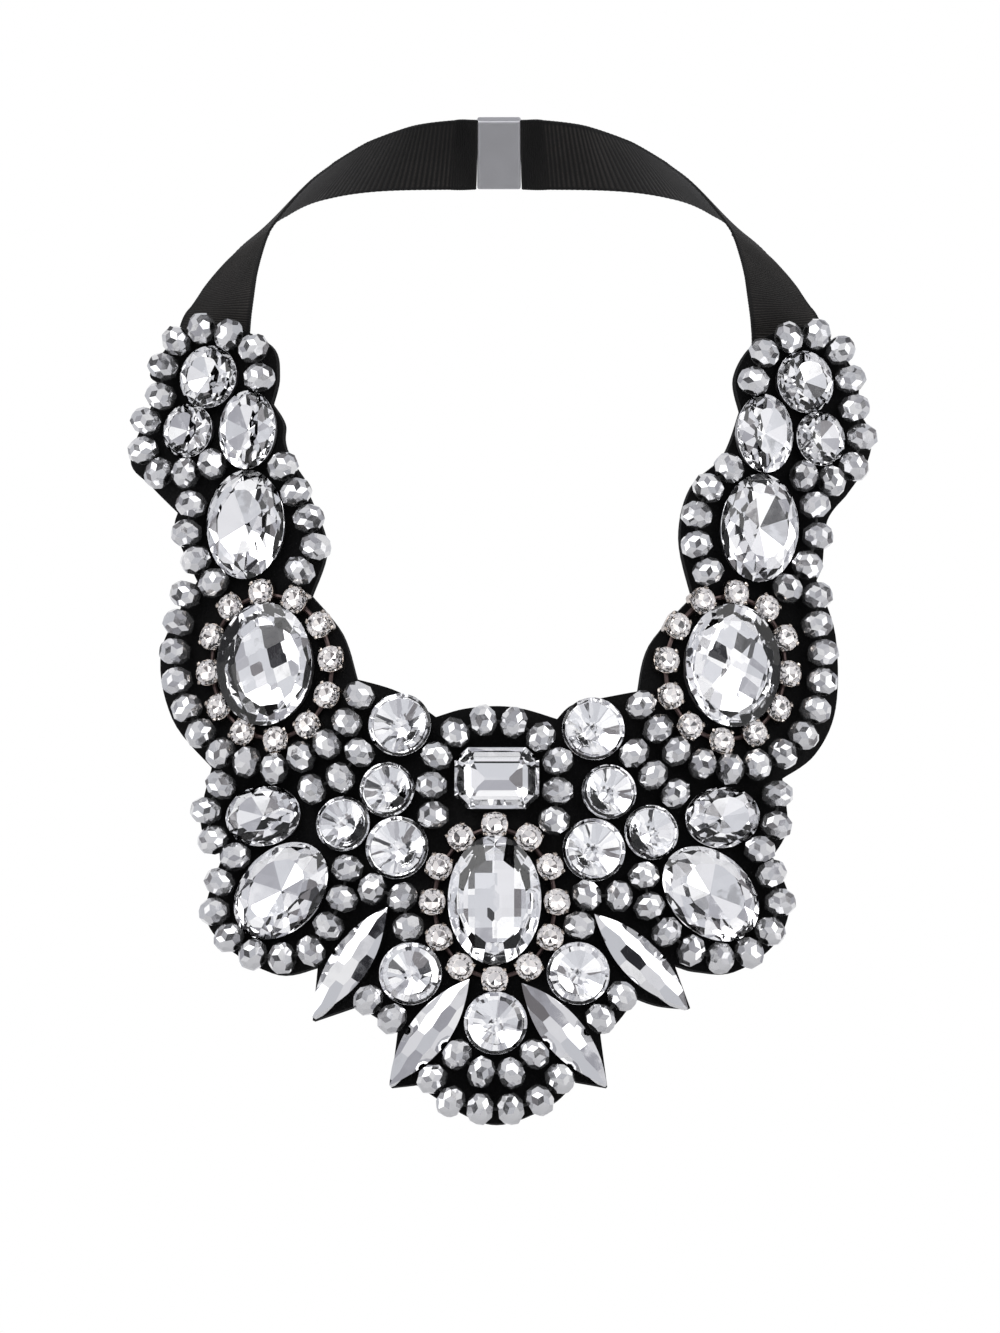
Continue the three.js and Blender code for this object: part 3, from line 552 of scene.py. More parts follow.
PAVILIONS = {
    "brilliant": [
        {"count": 8, "phase": 0, "outer": (1, -0.1), "inner": (0.02, -0.85)},
        {"count": 16, "phase": 0.5, "outer": (1, -0.04), "inner": (0.7, -0.36)},
    ],
    "rivoli": [
        {"count": 11, "phase": 0.25, "outer": (0.8, -0.7), "inner": (0.02, -0.85)},
        {"count": 16, "phase": 0.5, "outer": (1, -0.08), "inner": (0.8, -0.7)},
    ],
    "flat": [
        {"count": 12, "phase": 0, "outer": (0.86, -0.4), "inner": (0.6, -0.85)},
        {"count": 24, "phase": 0.5, "outer": (1, -0.03), "inner": (0.8, -0.5)},
    ],
    "relief": [
        {"count": 6, "phase": 0.25, "outer": (0.85, -0.64), "inner": (0.02, -0.85)},
        {"count": 12, "phase": 0, "outer": (0.86, -0.4), "inner": (0.6, -0.85)},
        {"count": 24, "phase": 0.5, "outer": (1, -0.03), "inner": (0.8, -0.5)},
    ],
    "rhinestone": [
        {"count": 8, "phase": 0, "outer": (1, -0.05), "inner": (0.4, -0.76)},
        {"count": 8, "phase": 0.5, "outer": (0.62, -0.56), "inner": (0.02, -0.85)},
        {"count": 16, "phase": 0.5, "outer": (1, -0.03), "inner": (0.72, -0.36)},
    ],
}
FOOT = -0.85


def crystal_blank(pavilion, table):
    """A blank at unit radius, its back ground to a foiled pavilion."""
    bm = drum(48, FOOT, table)
    end_face(bm, -1).material_index = FOIL
    for row in PAVILIONS[pavilion]:
        grind_row(bm, row, FOIL)
    return bm


def brilliant_cut(crown, pavilion):
    """A crystal ground at unit radius: a clear crown over a foiled pavilion."""
    bm = crystal_blank(pavilion, CROWNS[crown]["table"])
    for row in CROWNS[crown]["rows"]:
        grind_row(bm, row, GLASS)
    return bm


def touch_dome(bm, x, y, fall):
    """A facet that touches a dome of unit height, which falls by two shares at unit distance."""
    height = 1 - fall[0] * x * x - fall[1] * y * y
    slice_off(bm, Vector((x, y, height)), Vector((2 * fall[0] * x, 2 * fall[1] * y, 1)), GLASS)


# Chequerboard crowns: the board's shift in squares and its turn in degrees
CHEQUERS = {
    "left_large_oval": {"shift": 0, "turn": 16, "pavilion": "flat"},
    "right_large_oval": {"shift": 0, "turn": -20, "pavilion": "relief"},
    "center_large_oval": {"shift": 0.5, "turn": 0, "pavilion": "flat"},
}
CHEQUER_PITCH = 0.42
CHEQUER_REACH = 0.92
CHEQUER_RIM = [
    {"count": 24, "phase": 0, "outer": (1, 0.06), "inner": (0.9, 0.3)},
    {"count": 12, "phase": 0.5, "outer": (0.95, 0.17), "inner": (0.8, 0.43)},
]


def chequer_cut(stone_name, squash):
    """A crystal with a chequerboard crown over a shallow foiled pavilion, at unit radius."""
    chequer = CHEQUERS[stone_name]
    bm = crystal_blank(chequer["pavilion"], 1)
    for row in CHEQUER_RIM:
        grind_row(bm, row, GLASS)
    turn = unit(math.radians(chequer["turn"]))
    for i in range(-4, 5):
        for k in range(-4, 5):
            place = complex(i + chequer["shift"], k) * CHEQUER_PITCH * turn
            place = complex(place.real, place.imag * squash)
            if abs(place) < CHEQUER_REACH:
                touch_dome(bm, place.real, place.imag, (1, 1))
    return bm


# Steps of the octagon in real size: place out from its sides and height over the girdle
OCTAGON_BLOCK = 0.05
OCTAGON_STEPS = {
    FOIL: [(0, -0.0001), (-0.0014, -0.0016), (-0.0032, -0.0024), (-0.006, -0.00275)],
    GLASS: [(0, 0.0005), (-0.0013, 0.0017), (-0.0022, 0.0025), (-0.0034, 0.0032)],
}


def step_cut():
    """The octagon in real size, its girdle at the origin, with steps parallel to its sides."""
    cut = CUTS["octagon"]
    half_w, half_l = cut["width"] / 2, cut["length"] / 2
    corner = (half_w + half_l - CORNER_CUT * half_l) / math.sqrt(2)
    sides = [(0, half_w), (math.pi / 2, half_l), (math.pi, half_w), (-math.pi / 2, half_l)]
    sides += [(math.pi * (k + 0.5) / 2, corner) for k in range(4)]
    bm = bmesh.new()
    bmesh.ops.create_cube(bm, size=OCTAGON_BLOCK)
    slice_off(bm, Vector((0, 0, -cut["girdle"])), -UP, FOIL)
    slice_off(bm, Vector((0, 0, cut["height"] - cut["girdle"])), UP, GLASS)
    for material, profile in OCTAGON_STEPS.items():
        for (outset, height), (next_outset, next_height) in zip(profile, profile[1:]):
            for angle, distance in sides:
                outer = (distance + outset, height)
                inner = (distance + next_outset, next_height)
                row = {"count": 1, "phase": angle / (2 * math.pi), "outer": outer, "inner": inner}
                grind_row(bm, row, material)
    return bm


# Navettes at unit half width and half length: columns of facets across, their pitch along the stone, the
# step from column to column, how the dome falls across and along, and the height of the blank
NAVETTE = {
    "columns": (-0.78, -0.27, 0.27, 0.78), "pitch": 0.42, "stagger": 0.16, "fall": (0.38, 0.4), "blank": 1.2}


def navette_cut():
    """A silvered navette at unit half width and half length: a dome of slanting four-sided facets."""
    bm = bmesh.new()
    plate = bm.faces.new([bm.verts.new((p.real, p.imag, 0)) for p in navette_outline(56)])
    risen = bmesh.ops.extrude_face_region(bm, geom=[plate])
    top = [part for part in risen["geom"] if isinstance(part, bmesh.types.BMVert)]
    bmesh.ops.translate(bm, verts=top, vec=(0, 0, NAVETTE["blank"]))
    bmesh.ops.recalc_face_normals(bm, faces=bm.faces)
    for column, x in enumerate(NAVETTE["columns"]):
        for k in range(-4, 4):
            y = (k + 0.5) * NAVETTE["pitch"] + (column - 1.5) * NAVETTE["stagger"]
            touch_dome(bm, x, y, NAVETTE["fall"])
    return bm


# Settings at unit radius: height as a share of the girdle's, radius of the foot and rim, wall, depth of the
# hollow as a share of the height, taper of its floor
SETTING = {"height": 0.75, "foot": 0.9, "rim": 0.98, "wall": 0.025, "hollow": 0.95, "taper": 0.9}


def setting(height):
    """The dull cup round a crystal's back, open at the top, at unit radius and real height."""
    bm = drum(32, 0, height, SETTING["foot"], SETTING["rim"])
    lid = end_face(bm)
    bmesh.ops.inset_region(bm, faces=[lid], thickness=SETTING["wall"])
    bmesh.ops.translate(bm, verts=lid.verts[:], vec=(0, 0, -height * SETTING["hollow"]))
    bmesh.ops.scale(bm, verts=lid.verts[:], vec=(SETTING["taper"], SETTING["taper"], 1))
    paint(bm, CUP)
    return bm


def merge_in(bm, other):
    """Adds a bmesh to another and frees it."""
    scratch = bpy.data.meshes.new("scratch")
    other.to_mesh(scratch)
    other.free()
    bm.from_mesh(scratch)
    bpy.data.meshes.remove(scratch)


def add_object(name, data):
    """A new object in the scene."""
    thing = bpy.data.objects.new(name, data)
    bpy.context.scene.collection.objects.link(thing)
    return thing


def mesh_object(name, bm, materials):
    """An object with a finished mesh and its materials."""
    mesh = bpy.data.meshes.new(name)
    bm.to_mesh(mesh)
    bm.free()
    for material in materials:
        mesh.materials.append(material)
    return add_object(name, mesh)


def finish_piece(name, bm, materials, slot, *nodes):
    """One finished mesh, riding on the necklace in place of its solids."""
    piece = mesh_object(name, bm, materials)
    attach(piece, "root")
    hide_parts(*nodes)
    return piece


# Crown and pavilion by a stone's own name without its side, or else by its cut
CUT_STYLES = {
    "base_round": ("deep_rivoli", "rivoli"),
    "top_round": ("brilliant", "brilliant"),
    "side_round": ("brilliant", "brilliant"),
    "large_round": ("rivoli", "rivoli"),
    "small_round": ("rivoli", "rivoli"),
    "small_oval": ("brilliant", "brilliant"),
    "medium_oval": ("brilliant", "brilliant"),
}


def crystal_mesh(name, stone_name, spin):
    """A crystal of one of the cuts in real size, its foot at the origin."""
    cut = CUTS[name]
    half_width, half_length, girdle = cut["width"] / 2, cut["length"] / 2, cut["girdle"]
    crown_rise = cut["height"] - girdle
    if name == "octagon":
        bm = step_cut()
        bmesh.ops.translate(bm, verts=bm.verts, vec=(0, 0, girdle))
        return bm
    if name == "navette":
        bm = navette_cut()
        bmesh.ops.scale(bm, verts=bm.verts, vec=(half_width, half_length, cut["height"]))
        return bm
    if name in RINGED:
        bm = chequer_cut(stone_name, cut["width"] / cut["length"])
    else:
        own_style = stone_name.split("_", 1)[1]
        bm = brilliant_cut(*CUT_STYLES.get(own_style, CUT_STYLES[name]))
        bmesh.ops.rotate(bm, verts=bm.verts, matrix=Matrix.Rotation(spin, 3, "Z"))
    for vert in bm.verts:
        vert.co.z *= crown_rise if vert.co.z > 0 else girdle
        vert.co.z += girdle
    merge_in(bm, setting(girdle * SETTING["height"]))
    bmesh.ops.scale(bm, verts=bm.verts, vec=(half_width, half_length, 1))
    return bm


def make_stone(row, stone, finishes, chance):
    """A cut stone at its eased place, rounds turned by chance."""
    spin = chance.uniform(0, math.pi) if "round" in row["cut"] else 0
    bm = crystal_mesh(row["cut"], row["name"], spin)
    place = unflatten(stone.place) @ Matrix.Translation((0, 0, SEAT_GAP))
    place = place @ Matrix.Rotation(math.radians(row["turn"]), 4, "Z")
    bmesh.ops.transform(bm, matrix=place, verts=bm.verts)
    slot = "navette" if row["cut"] == "navette" else "crystal"
    parts = ["navette"] if slot == "navette" else ["crystal", "foil", "setting"]
    finish_piece(f"{row['name']}_cut", bm, [finishes[part] for part in parts], slot, row["name"])


# Bead facets in real size, on each side of the belt: radius and distance from the middle along the string
BEAD_ROWS = [
    {"count": 8, "outer": (0.00354, 0.0004), "inner": (0.003, 0.00185)},
    {"count": 8, "outer": (0.0031, 0.0016), "inner": (0.0016, 0.00285)},
]
BEAD_HOLE = {"rim": 0.0006, "bevel": 0.0001, "depth": 0.0009}
BEAD_TILT = 0.07


def bead_cut():
    """A faceted rondelle in real size, its string along Z, with a drilled hole whose walls and floor are
    painted near-black as shade.
    """
    bm = drum(16, -BEAD_LENGTH / 2, BEAD_LENGTH / 2, BEAD_DIAMETER / 2, BEAD_DIAMETER / 2)
    for side in (1, -1):
        for number, row in enumerate(BEAD_ROWS):
            outer = (row["outer"][0], row["outer"][1] * side)
            inner = (row["inner"][0], row["inner"][1] * side)
            phase = (number + (side < 0)) * 0.5
            grind_row(bm, {"count": row["count"], "phase": phase, "outer": outer, "inner": inner}, BEAD)
    for side in (1, -1):
        end = end_face(bm, side)
        bmesh.ops.inset_region(bm, faces=[end], thickness=BEAD_HOLE["rim"])
        bmesh.ops.inset_region(
            bm, faces=[end], thickness=BEAD_HOLE["bevel"], depth=-BEAD_HOLE["depth"])
        # The hole's walls and floor take the near-black finish: painted shade in the hole.
        for face in {face for vert in end.verts for face in vert.link_faces}:
            face.material_index = THREAD_AND_HOLE_SHADE
    return bm


def rod(start, end, radius, sides, material):
    """A round rod between two points."""
    length = (end - start).length
    bm = drum(sides, -length / 2, length / 2, radius, radius)
    aim = (end - start).to_track_quat("Z", "Y").to_matrix().to_4x4()
    bmesh.ops.transform(bm, matrix=Matrix.Translation((start + end) / 2) @ aim, verts=bm.verts)
    paint(bm, material)
    return bm


def make_string(row, beads, finishes, chance):
    """A string of rondelles with the thread that runs through them."""
    unit_bead = bead_cut()
    bm = bmesh.new()
    centres = []
    for bead in beads:
        place = unflatten(bead.place)
        axis = bead.axis()
        lengthwise = (place.col[0] * axis.real + place.col[1] * axis.imag).to_3d()
        outward = place.col[2].to_3d()
        turn = Matrix((outward.cross(lengthwise), outward, lengthwise)).transposed().to_4x4()
        centre = place.translation + outward * (SEAT_GAP + BEAD_DIAMETER / 2)
        centres.append(centre)
        spin = Matrix.Rotation(chance.uniform(0, 2 * math.pi), 4, "Z")
        tilt = Matrix.Rotation(chance.uniform(-BEAD_TILT, BEAD_TILT), 4, "X")
        copy = unit_bead.copy()
        seat = Matrix.Translation(centre) @ turn @ tilt @ spin
        bmesh.ops.transform(copy, matrix=seat, verts=copy.verts)
        merge_in(bm, copy)
    for start, end in zip(centres, centres[1:]):
        merge_in(bm, rod(start, end, THREAD_DIAMETER / 2, 6, THREAD_AND_HOLE_SHADE))
    unit_bead.free()
    materials = [finishes["bead"], finishes["thread_and_hole_shade"]]
    finish_piece(f"{row['name']}_cut", bm, materials, "bead", row["name"])


# Cups: body, wall and corners, the hollow as a share of the wall, the gem, the claws, and how far a link
# starts from a cup's middle
CUP_BODY = CUP_WIDTH * 0.93
CUP_WALL = CUP_HEIGHT * 0.68
CUP_CORNER = CUP_WIDTH * 0.2
CUP_RIM = 0.0004
CUP_HOLLOW = 0.8
GEM_RADIUS = CUP_WIDTH * 0.51
GEM_HEIGHT = CUP_HEIGHT * 0.32
CLAW = {"radius": 0.0006, "out": CUP_WIDTH * 0.52, "over": 0.0002, "shape": (0.8, 1.1, 1.3, 1)}
LINK_INSET = CUP_WIDTH * 0.42


def rhinestone_cut():
    """A small brilliant in real size for a cup, its girdle at the origin."""
    bm = brilliant_cut("rhinestone", "rhinestone")
    bmesh.ops.scale(bm, verts=bm.verts, vec=(GEM_RADIUS, GEM_RADIUS, GEM_HEIGHT))
    return bm


def claw(turn):
    """A small claw that grips the gem at one corner of a cup."""
    bm = bmesh.new()
    bmesh.ops.create_icosphere(bm, subdivisions=1, radius=CLAW["radius"])
    place = Matrix.Rotation(turn, 4, "Z") @ Matrix.Translation((CLAW["out"], 0, CUP_WALL + CLAW["over"]))
    bmesh.ops.transform(bm, matrix=place @ Matrix.Diagonal(CLAW["shape"]), verts=bm.verts)
    paint(bm, CUP)
    return bm


def cup_mesh():
    """A square cup with four claws over a small brilliant, its foot at the origin, its chain along X."""
    bm = bmesh.new()
    body = Matrix.Diagonal((CUP_BODY, CUP_BODY, CUP_WALL, 1))
    bmesh.ops.create_cube(bm, size=1, matrix=Matrix.Translation((0, 0, CUP_WALL / 2)) @ body)
    posts = [edge for edge in bm.edges if abs(edge.verts[0].co.z - edge.verts[1].co.z) > CUP_WALL / 2]
    bmesh.ops.bevel(
        bm, geom=posts, offset=CUP_CORNER, segments=3, affect="EDGES", profile=0.5, material=-1)
    lid = end_face(bm)
    bmesh.ops.inset_region(bm, faces=[lid], thickness=CUP_RIM)
    bmesh.ops.translate(bm, verts=lid.verts[:], vec=(0, 0, -CUP_WALL * CUP_HOLLOW))
    paint(bm, CUP)
    for k in range(4):
        merge_in(bm, claw(math.pi / 4 + k * math.pi / 2))
    gem = rhinestone_cut()
    bmesh.ops.translate(gem, verts=gem.verts, vec=(0, 0, CUP_WALL))
    merge_in(bm, gem)
    return bm


def make_ring(row, cups, finishes):
    """A chain of cupped rhinestones round a stone, with the links between the cups."""
    unit_cup = cup_mesh()
    bm = bmesh.new()
    frames = [unflatten(cup.place) for cup in cups]
    link_seat = Vector((0, 0, SEAT_GAP + LINK_DIAMETER / 2))
    for i in range(len(cups)):
        following = (i + 1) % len(cups)
        direction = cups[following].place - cups[i - 1].place
        turn = Matrix.Rotation(math.atan2(direction.imag, direction.real), 4, "Z")
        copy = unit_cup.copy()
        place = frames[i] @ Matrix.Translation((0, 0, SEAT_GAP)) @ turn
        bmesh.ops.transform(copy, matrix=place, verts=copy.verts)
        merge_in(bm, copy)
        start, end = frames[i] @ link_seat, frames[following] @ link_seat
        inset = (end - start).normalized() * LINK_INSET
        merge_in(bm, rod(start + inset, end - inset, LINK_DIAMETER / 2, 8, LINK))
    unit_cup.free()
    node = row["name"].replace("_large_oval", "") + "_rhinestone_ring"
    materials = [finishes[part] for part in ("rhinestone", "foil", "cup", "link")]
    finish_piece(f"{node}_set", bm, materials, "rhinestone", node)


def felt_edge():
    """Points of the felt's edge on the front view, as complex numbers."""
    edge = []
    for run in FELT_RUNS:
        points = [chart_point(u, v) for u, v in run]
        steps = (len(run) - 1) * FELT_RUN_STEPS if len(run) > 2 else FELT_RUN_STEPS
        edge += [spline(points, k / steps) for k in range(1, steps + 1)]
    return edge


def make_felt(finishes):
    """The felt: one flat sheet cut to its edge, then bowed over the chest and given its thickness."""
    edge = felt_edge()
    bm = bmesh.new()
    bm.faces.new([bm.verts.new((p.real, 0, p.imag)) for p in edge])
    for places, normal in (([p.real for p in edge], Vector((1, 0, 0))), ([p.imag for p in edge], UP)):
        low, high = min(places), max(places)
        for k in range(1, int((high - low) / FELT_CELL) + 1):
            split(bm, normal * (low + k * FELT_CELL), normal, dist=FELT_MERGE)
    area = sum(face.calc_area() for face in bm.faces) / math.cos(CHEST_LEAN)
    bmesh.ops.triangulate(bm, faces=bm.faces)
    for vert in bm.verts:
        vert.co = chest_frame(vert.co.x, vert.co.z).translation
    bmesh.ops.recalc_face_normals(bm, faces=bm.faces)
    if sum(face.normal.y for face in bm.faces) > 0:
        bmesh.ops.reverse_faces(bm, faces=bm.faces)
    bmesh.ops.solidify(bm, geom=bm.faces[:], thickness=FELT_THICKNESS)
    bmesh.ops.recalc_face_normals(bm, faces=bm.faces)
    felt = finish_piece("felt_sheet", bm, [finishes["felt"]], "felt", "felt_backing")
    flat = (2 * flatten(BIB_WIDTH / 2, 0).real, BIB_HEIGHT / math.cos(CHEST_LEAN))


# Spans of a spline below this are taken as none
STILL = 1e-4


def uneven_spline(points, t):
    """Centripetal Catmull-Rom spline through vectors, its ends carried on."""
    last = len(points) - 1
    i = min(int(last * t), last - 1)
    start, end = points[i], points[i + 1]
    before = points[i - 1] if i > 0 else 2 * points[0] - points[1]
    after = points[i + 2] if i + 2 <= last else 2 * points[last] - points[last - 1]
    spans = ((before, start), (start, end), (end, after))
    step0, step1, step2 = (math.sqrt((b - a).length) for a, b in spans)
    step1 = step1 if step1 > STILL else 1
    step0 = step0 if step0 > STILL else step1
    step2 = step2 if step2 > STILL else step1
    leave = (start - before) / step0 - (end - before) / (step0 + step1) + (end - start) / step1
    arrive = (end - start) / step1 - (after - start) / (step1 + step2) + (after - end) / step2
    return cubic_point(start, end, leave * step1, arrive * step1, last * t - i)


def ribbon_stations(side):
    """Centres and facings of a ribbon, from behind the bib's arm to the clasp."""
    sign, spread = side["sign"], side["spread"]
    arm_x = (CHART["centre"] - ARM["u"]) * UNIT_ACROSS * spread * sign
    depth = FELT_THICKNESS + RIBBON_SETBACK + RIBBON_THICKNESS / 2

    def tucked(z):
        place = chest_frame(arm_x, z)
        outward = place.col[2].to_3d()
        return place.translation - outward * depth, outward

    arm = tucked(ARM_TOP)
    neck_side = Vector((NECK_HALF_WIDTH * spread * sign, -NECK_DEPTH, -NECK_DROP))
    stations = [tucked(ARM_TOP - ARM["tuck"]), arm]
    for row in RIBBON_STATIONS:
        shares = (row["out"], row["front"], row["drop"])
        centre = Vector([a + (b - a) * share for a, b, share in zip(neck_side, arm[0], shares)])
        outward = math.sqrt(1 - row["face"] ** 2 - row["lift"] ** 2)
        stations.append((centre, Vector((sign * outward, -row["face"], row["lift"]))))
    end = NAPE_FACING * (RIBBON_THICKNESS / 2)
    end.x = sign * (CLASP_LENGTH / 2 + SEAT_GAP)
    turn = Vector((-sign * NECK_TURN["inward"], NECK_TURN["back"], NECK_TURN["up"]))
    leaving = neck_side + turn * (NECK_TURN["handle"] * NECK_DEPTH)
    arriving = end + Vector((sign * NECK_TURN["handle"] * NECK_HALF_WIDTH, 0, 0))
    facing = stations[-1][1]
    for share in NECK_SHARES:
        rest = 1 - share
        centre = (neck_side * rest ** 3 + leaving * (3 * rest * rest * share)
                  + arriving * (3 * rest * share * share) + end * share ** 3)
        turned = min(1, share / NECK_SHARES[-2])
        stations.append((centre, facing.lerp(NAPE_FACING, turned).normalized()))
    return stations


RIB_PITCH = 0.001
RIB_DEPTH = 0.00016
RIBBON_COLUMNS = 12
ROWS_PER_RIB = 4

# Share of the ribbon's thickness under its ribs, where the ribs start to fade beside the selvedge and how
# fast, and the share of the way to the places that a direction is read from
RIBBON_CORE = 0.56
SELVEDGE = {"start": 0.9, "fall": 6}
NEARBY = 1e-4


def make_ribbon(side, finishes):
    """A grosgrain ribbon: a strip with woven ribs across it, laid along its stations."""
    stations = ribbon_stations(side)
    centres = [centre for centre, _ in stations]
    facings = [facing for _, facing in stations]
    line = [uneven_spline(centres, k / CURVE_SAMPLES) for k in range(CURVE_SAMPLES + 1)]
    length = sum((b - a).length for a, b in zip(line, line[1:]))
    ribs = int(length / RIB_PITCH)
    bm = bmesh.new()
    # UV map that the painted shade between the ribs follows: across the ribbon, and one unit for each rib
    # along it.
    rib_shade_uv = bm.loops.layers.uv.new("UVMap")
    bmesh.ops.create_grid(
        bm, x_segments=RIBBON_COLUMNS, y_segments=ribs * ROWS_PER_RIB, size=0.5, calc_uvs=True)
    for face in bm.faces:
        for loop in face.loops:
            loop[rib_shade_uv].uv = (loop.vert.co.x + 0.5, (loop.vert.co.y + 0.5) * ribs)
    for vert in bm.verts:
        t = vert.co.y + 0.5
        aside_share = vert.co.x * 2
        centre = uneven_spline(centres, t)
        ahead = uneven_spline(centres, min(1, t + NEARBY))
        behind = uneven_spline(centres, max(0, t - NEARBY))
        lengthwise = (ahead - behind).normalized()
        facing = uneven_spline(facings, t)
        facing = (facing - lengthwise * facing.dot(lengthwise)).normalized()
        aside = facing.cross(lengthwise)
        wave = math.cos(t * ribs * 2 * math.pi)
        fade = 1 - max(0, abs(aside_share) - SELVEDGE["start"]) * SELVEDGE["fall"]
        rise = RIBBON_THICKNESS * RIBBON_CORE / 2 + wave * RIB_DEPTH / 2 * fade
        vert.co = centre + aside * (aside_share * RIBBON_WIDTH / 2) + facing * rise
    bmesh.ops.recalc_face_normals(bm, faces=bm.faces)
    if bm.faces[0].normal.dot(facings[0]) < 0:
        bmesh.ops.reverse_faces(bm, faces=bm.faces)
    bmesh.ops.solidify(bm, geom=bm.faces[:], thickness=RIBBON_THICKNESS * RIBBON_CORE)
    bmesh.ops.recalc_face_normals(bm, faces=bm.faces)
    name = f"ribbon_{side['name']}"
    ribbon = finish_piece(f"{name}_grosgrain", bm, [finishes["ribbon"]], "ribbon", name)


def make_clasp(finishes):
    """The clasp: one plain piece with rounded edges and a shallow panel."""
    bm = bmesh.new()
    plate = Matrix.Diagonal((CLASP_LENGTH, RIBBON_WIDTH, CLASP_THICKNESS, 1))
    bmesh.ops.create_cube(bm, size=1, matrix=plate)
    bmesh.ops.bevel(
        bm, geom=bm.edges[:], offset=CLASP_EDGE, segments=3, affect="EDGES", profile=0.5, material=-1)
    lid = end_face(bm)
    bmesh.ops.inset_region(bm, faces=[lid], thickness=CLASP_BORDER)
    bmesh.ops.inset_region(bm, faces=[lid], thickness=CLASP_STEP, depth=-CLASP_STEP)
    sideways = Vector((1, 0, 0))
    place = Matrix((sideways, NAPE_FACING.cross(sideways), NAPE_FACING)).transposed().to_4x4()
    place.translation = NAPE_FACING * (CLASP_THICKNESS / 2)
    bmesh.ops.transform(bm, matrix=place, verts=bm.verts)
    finish_piece("neck_clasp_plate", bm, [finishes["clasp"]], "clasp", "neck_clasp")


def add_node(tree, kind, values=None, **settings):
    """A shader node with its own settings, then the values of its inputs."""
    node = tree.nodes.new(f"ShaderNode{kind}")
    for label, value in settings.items():
        setattr(node, label, value)
    for label, value in (values or {}).items():
        node.inputs[label].default_value = value
    return node


def join(tree, links):
    """Links nodes, each row as node, output, next node, input."""
    for source, output, target, entry in links:
        tree.links.new(source.outputs[output], target.inputs[entry])


def surface_group(name, sockets):
    """An empty shader node group with named inputs and outputs."""
    group = bpy.data.node_groups.new(name, "ShaderNodeTree")
    for label, direction, kind, value in sockets:
        socket = group.interface.new_socket(label, in_out=direction, socket_type=f"NodeSocket{kind}")
        if value is not None:
            socket.default_value = value
    return group, group.nodes.new("NodeGroupInput"), group.nodes.new("NodeGroupOutput")


def smudge_group():
    """Uneven polish in Object space: a soft mask that picks between a low and a high value."""
    group, given, out = surface_group("uneven_polish", [
        ("Vector", "INPUT", "Vector", None),
        ("Scale", "INPUT", "Float", 300.0),
        ("Low", "INPUT", "Float", 0.05),
        ("High", "INPUT", "Float", 0.2),
        ("Value", "OUTPUT", "Float", None),
    ])
    noise = add_node(group, "TexNoise", {"Detail": 3})
    pick = add_node(group, "MapRange", {"From Min": 0.35, "From Max": 0.7})
    join(group, [
        (given, "Vector", noise, "Vector"),
        (given, "Scale", noise, "Scale"),
        (noise, "Fac", pick, "Value"),
        (given, "Low", pick, "To Min"),
        (given, "High", pick, "To Max"),
        (pick, "Result", out, "Value"),
    ])
    return group


def fibre_group():
    """Cloth fibres: a colour between two shades and a height, both from fine noise in Object space."""
    group, given, out = surface_group("cloth_fibres", [
        ("Vector", "INPUT", "Vector", None),
        ("Scale", "INPUT", "Float", 900.0),
        ("Shade", "INPUT", "Color", (0.004, 0.004, 0.004, 1)),
        ("Lint", "INPUT", "Color", (0.03, 0.03, 0.03, 1)),
        ("Color", "OUTPUT", "Color", None),
        ("Height", "OUTPUT", "Float", None),
    ])
    fine = add_node(group, "TexNoise", {"Detail": 6, "Roughness": 0.7})
    broad = add_node(group, "TexNoise", {"Scale": 60})
    blend = add_node(group, "Math", operation="MULTIPLY")
    pick = add_node(group, "MapRange", {"From Min": 0.2, "From Max": 0.5})
    mix = add_node(group, "Mix", data_type="RGBA")
    join(group, [
        (given, "Vector", fine, "Vector"),
        (given, "Scale", fine, "Scale"),
        (given, "Vector", broad, "Vector"),
        (fine, "Fac", blend, 0),
        (broad, "Fac", blend, 1),
        (blend, "Value", pick, "Value"),
        (pick, "Result", mix, "Factor"),
        (given, "Shade", mix, "A"),
        (given, "Lint", mix, "B"),
        (mix, "Result", out, "Color"),
        (fine, "Fac", out, "Height"),
    ])
    return group


def new_finish(name, color, roughness, metallic=0.0, values=None):
    """A material and its Principled shader, with further values by the names of its inputs."""
    material = bpy.data.materials.new(name)
    material.use_nodes = True
    shader = material.node_tree.nodes["Principled BSDF"]
    plain = {"Base Color": (*color, 1), "Roughness": roughness, "Metallic": metallic}
    for label, value in {**plain, **(values or {})}.items():
        shader.inputs[label].default_value = value
    return material, shader


def add_group(material, group, coordinates, **values):
    """One of the effects in a material, with its own values, on Object or UV coordinates."""
    tree = material.node_tree
    effect = add_node(tree, "Group", values, node_tree=group)
    join(tree, [(add_node(tree, "TexCoord"), coordinates, effect, "Vector")])
    return effect


def add_bump(material, shader, relief, strength, distance):
    """Fine relief from a group's Height."""
    tree = material.node_tree
    bump = add_node(tree, "Bump", {"Strength": strength, "Distance": distance})
    join(tree, [(relief, "Height", bump, "Height"), (bump, "Normal", shader, "Normal")])


def glass_finish(name, color):
    """Clear cut glass."""
    material, _ = new_finish(name, color, 0, 0, {"IOR": 1.54, "Transmission Weight": 1})
    return material


def metal_finish(name, color, low, high, smudges, scale=400.0, metallic=1.0, values=None):
    """Polished metal or mirror coating with uneven polish."""
    material, shader = new_finish(name, color, low, metallic, values)
    polish = add_group(material, smudges, "Object", Scale=scale, Low=low, High=high)
    join(material.node_tree, [(polish, "Value", shader, "Roughness")])
    return material


def felt_finish(fibres):
    """Black felt with fine lint."""
    material, shader = new_finish("black_felt", (0.005, 0.005, 0.005), 0.95, 0, {
        "Specular IOR Level": 0.2, "Sheen Weight": 0.03, "Sheen Roughness": 0.5})
    cloth = add_group(
        material, fibres, "Object", Scale=1400.0,
        Shade=(0.001, 0.001, 0.0012, 1), Lint=(0.008, 0.0078, 0.0078, 1))
    join(material.node_tree, [(cloth, "Color", shader, "Base Color")])
    add_bump(material, shader, cloth, 0.7, 0.0004)
    return material


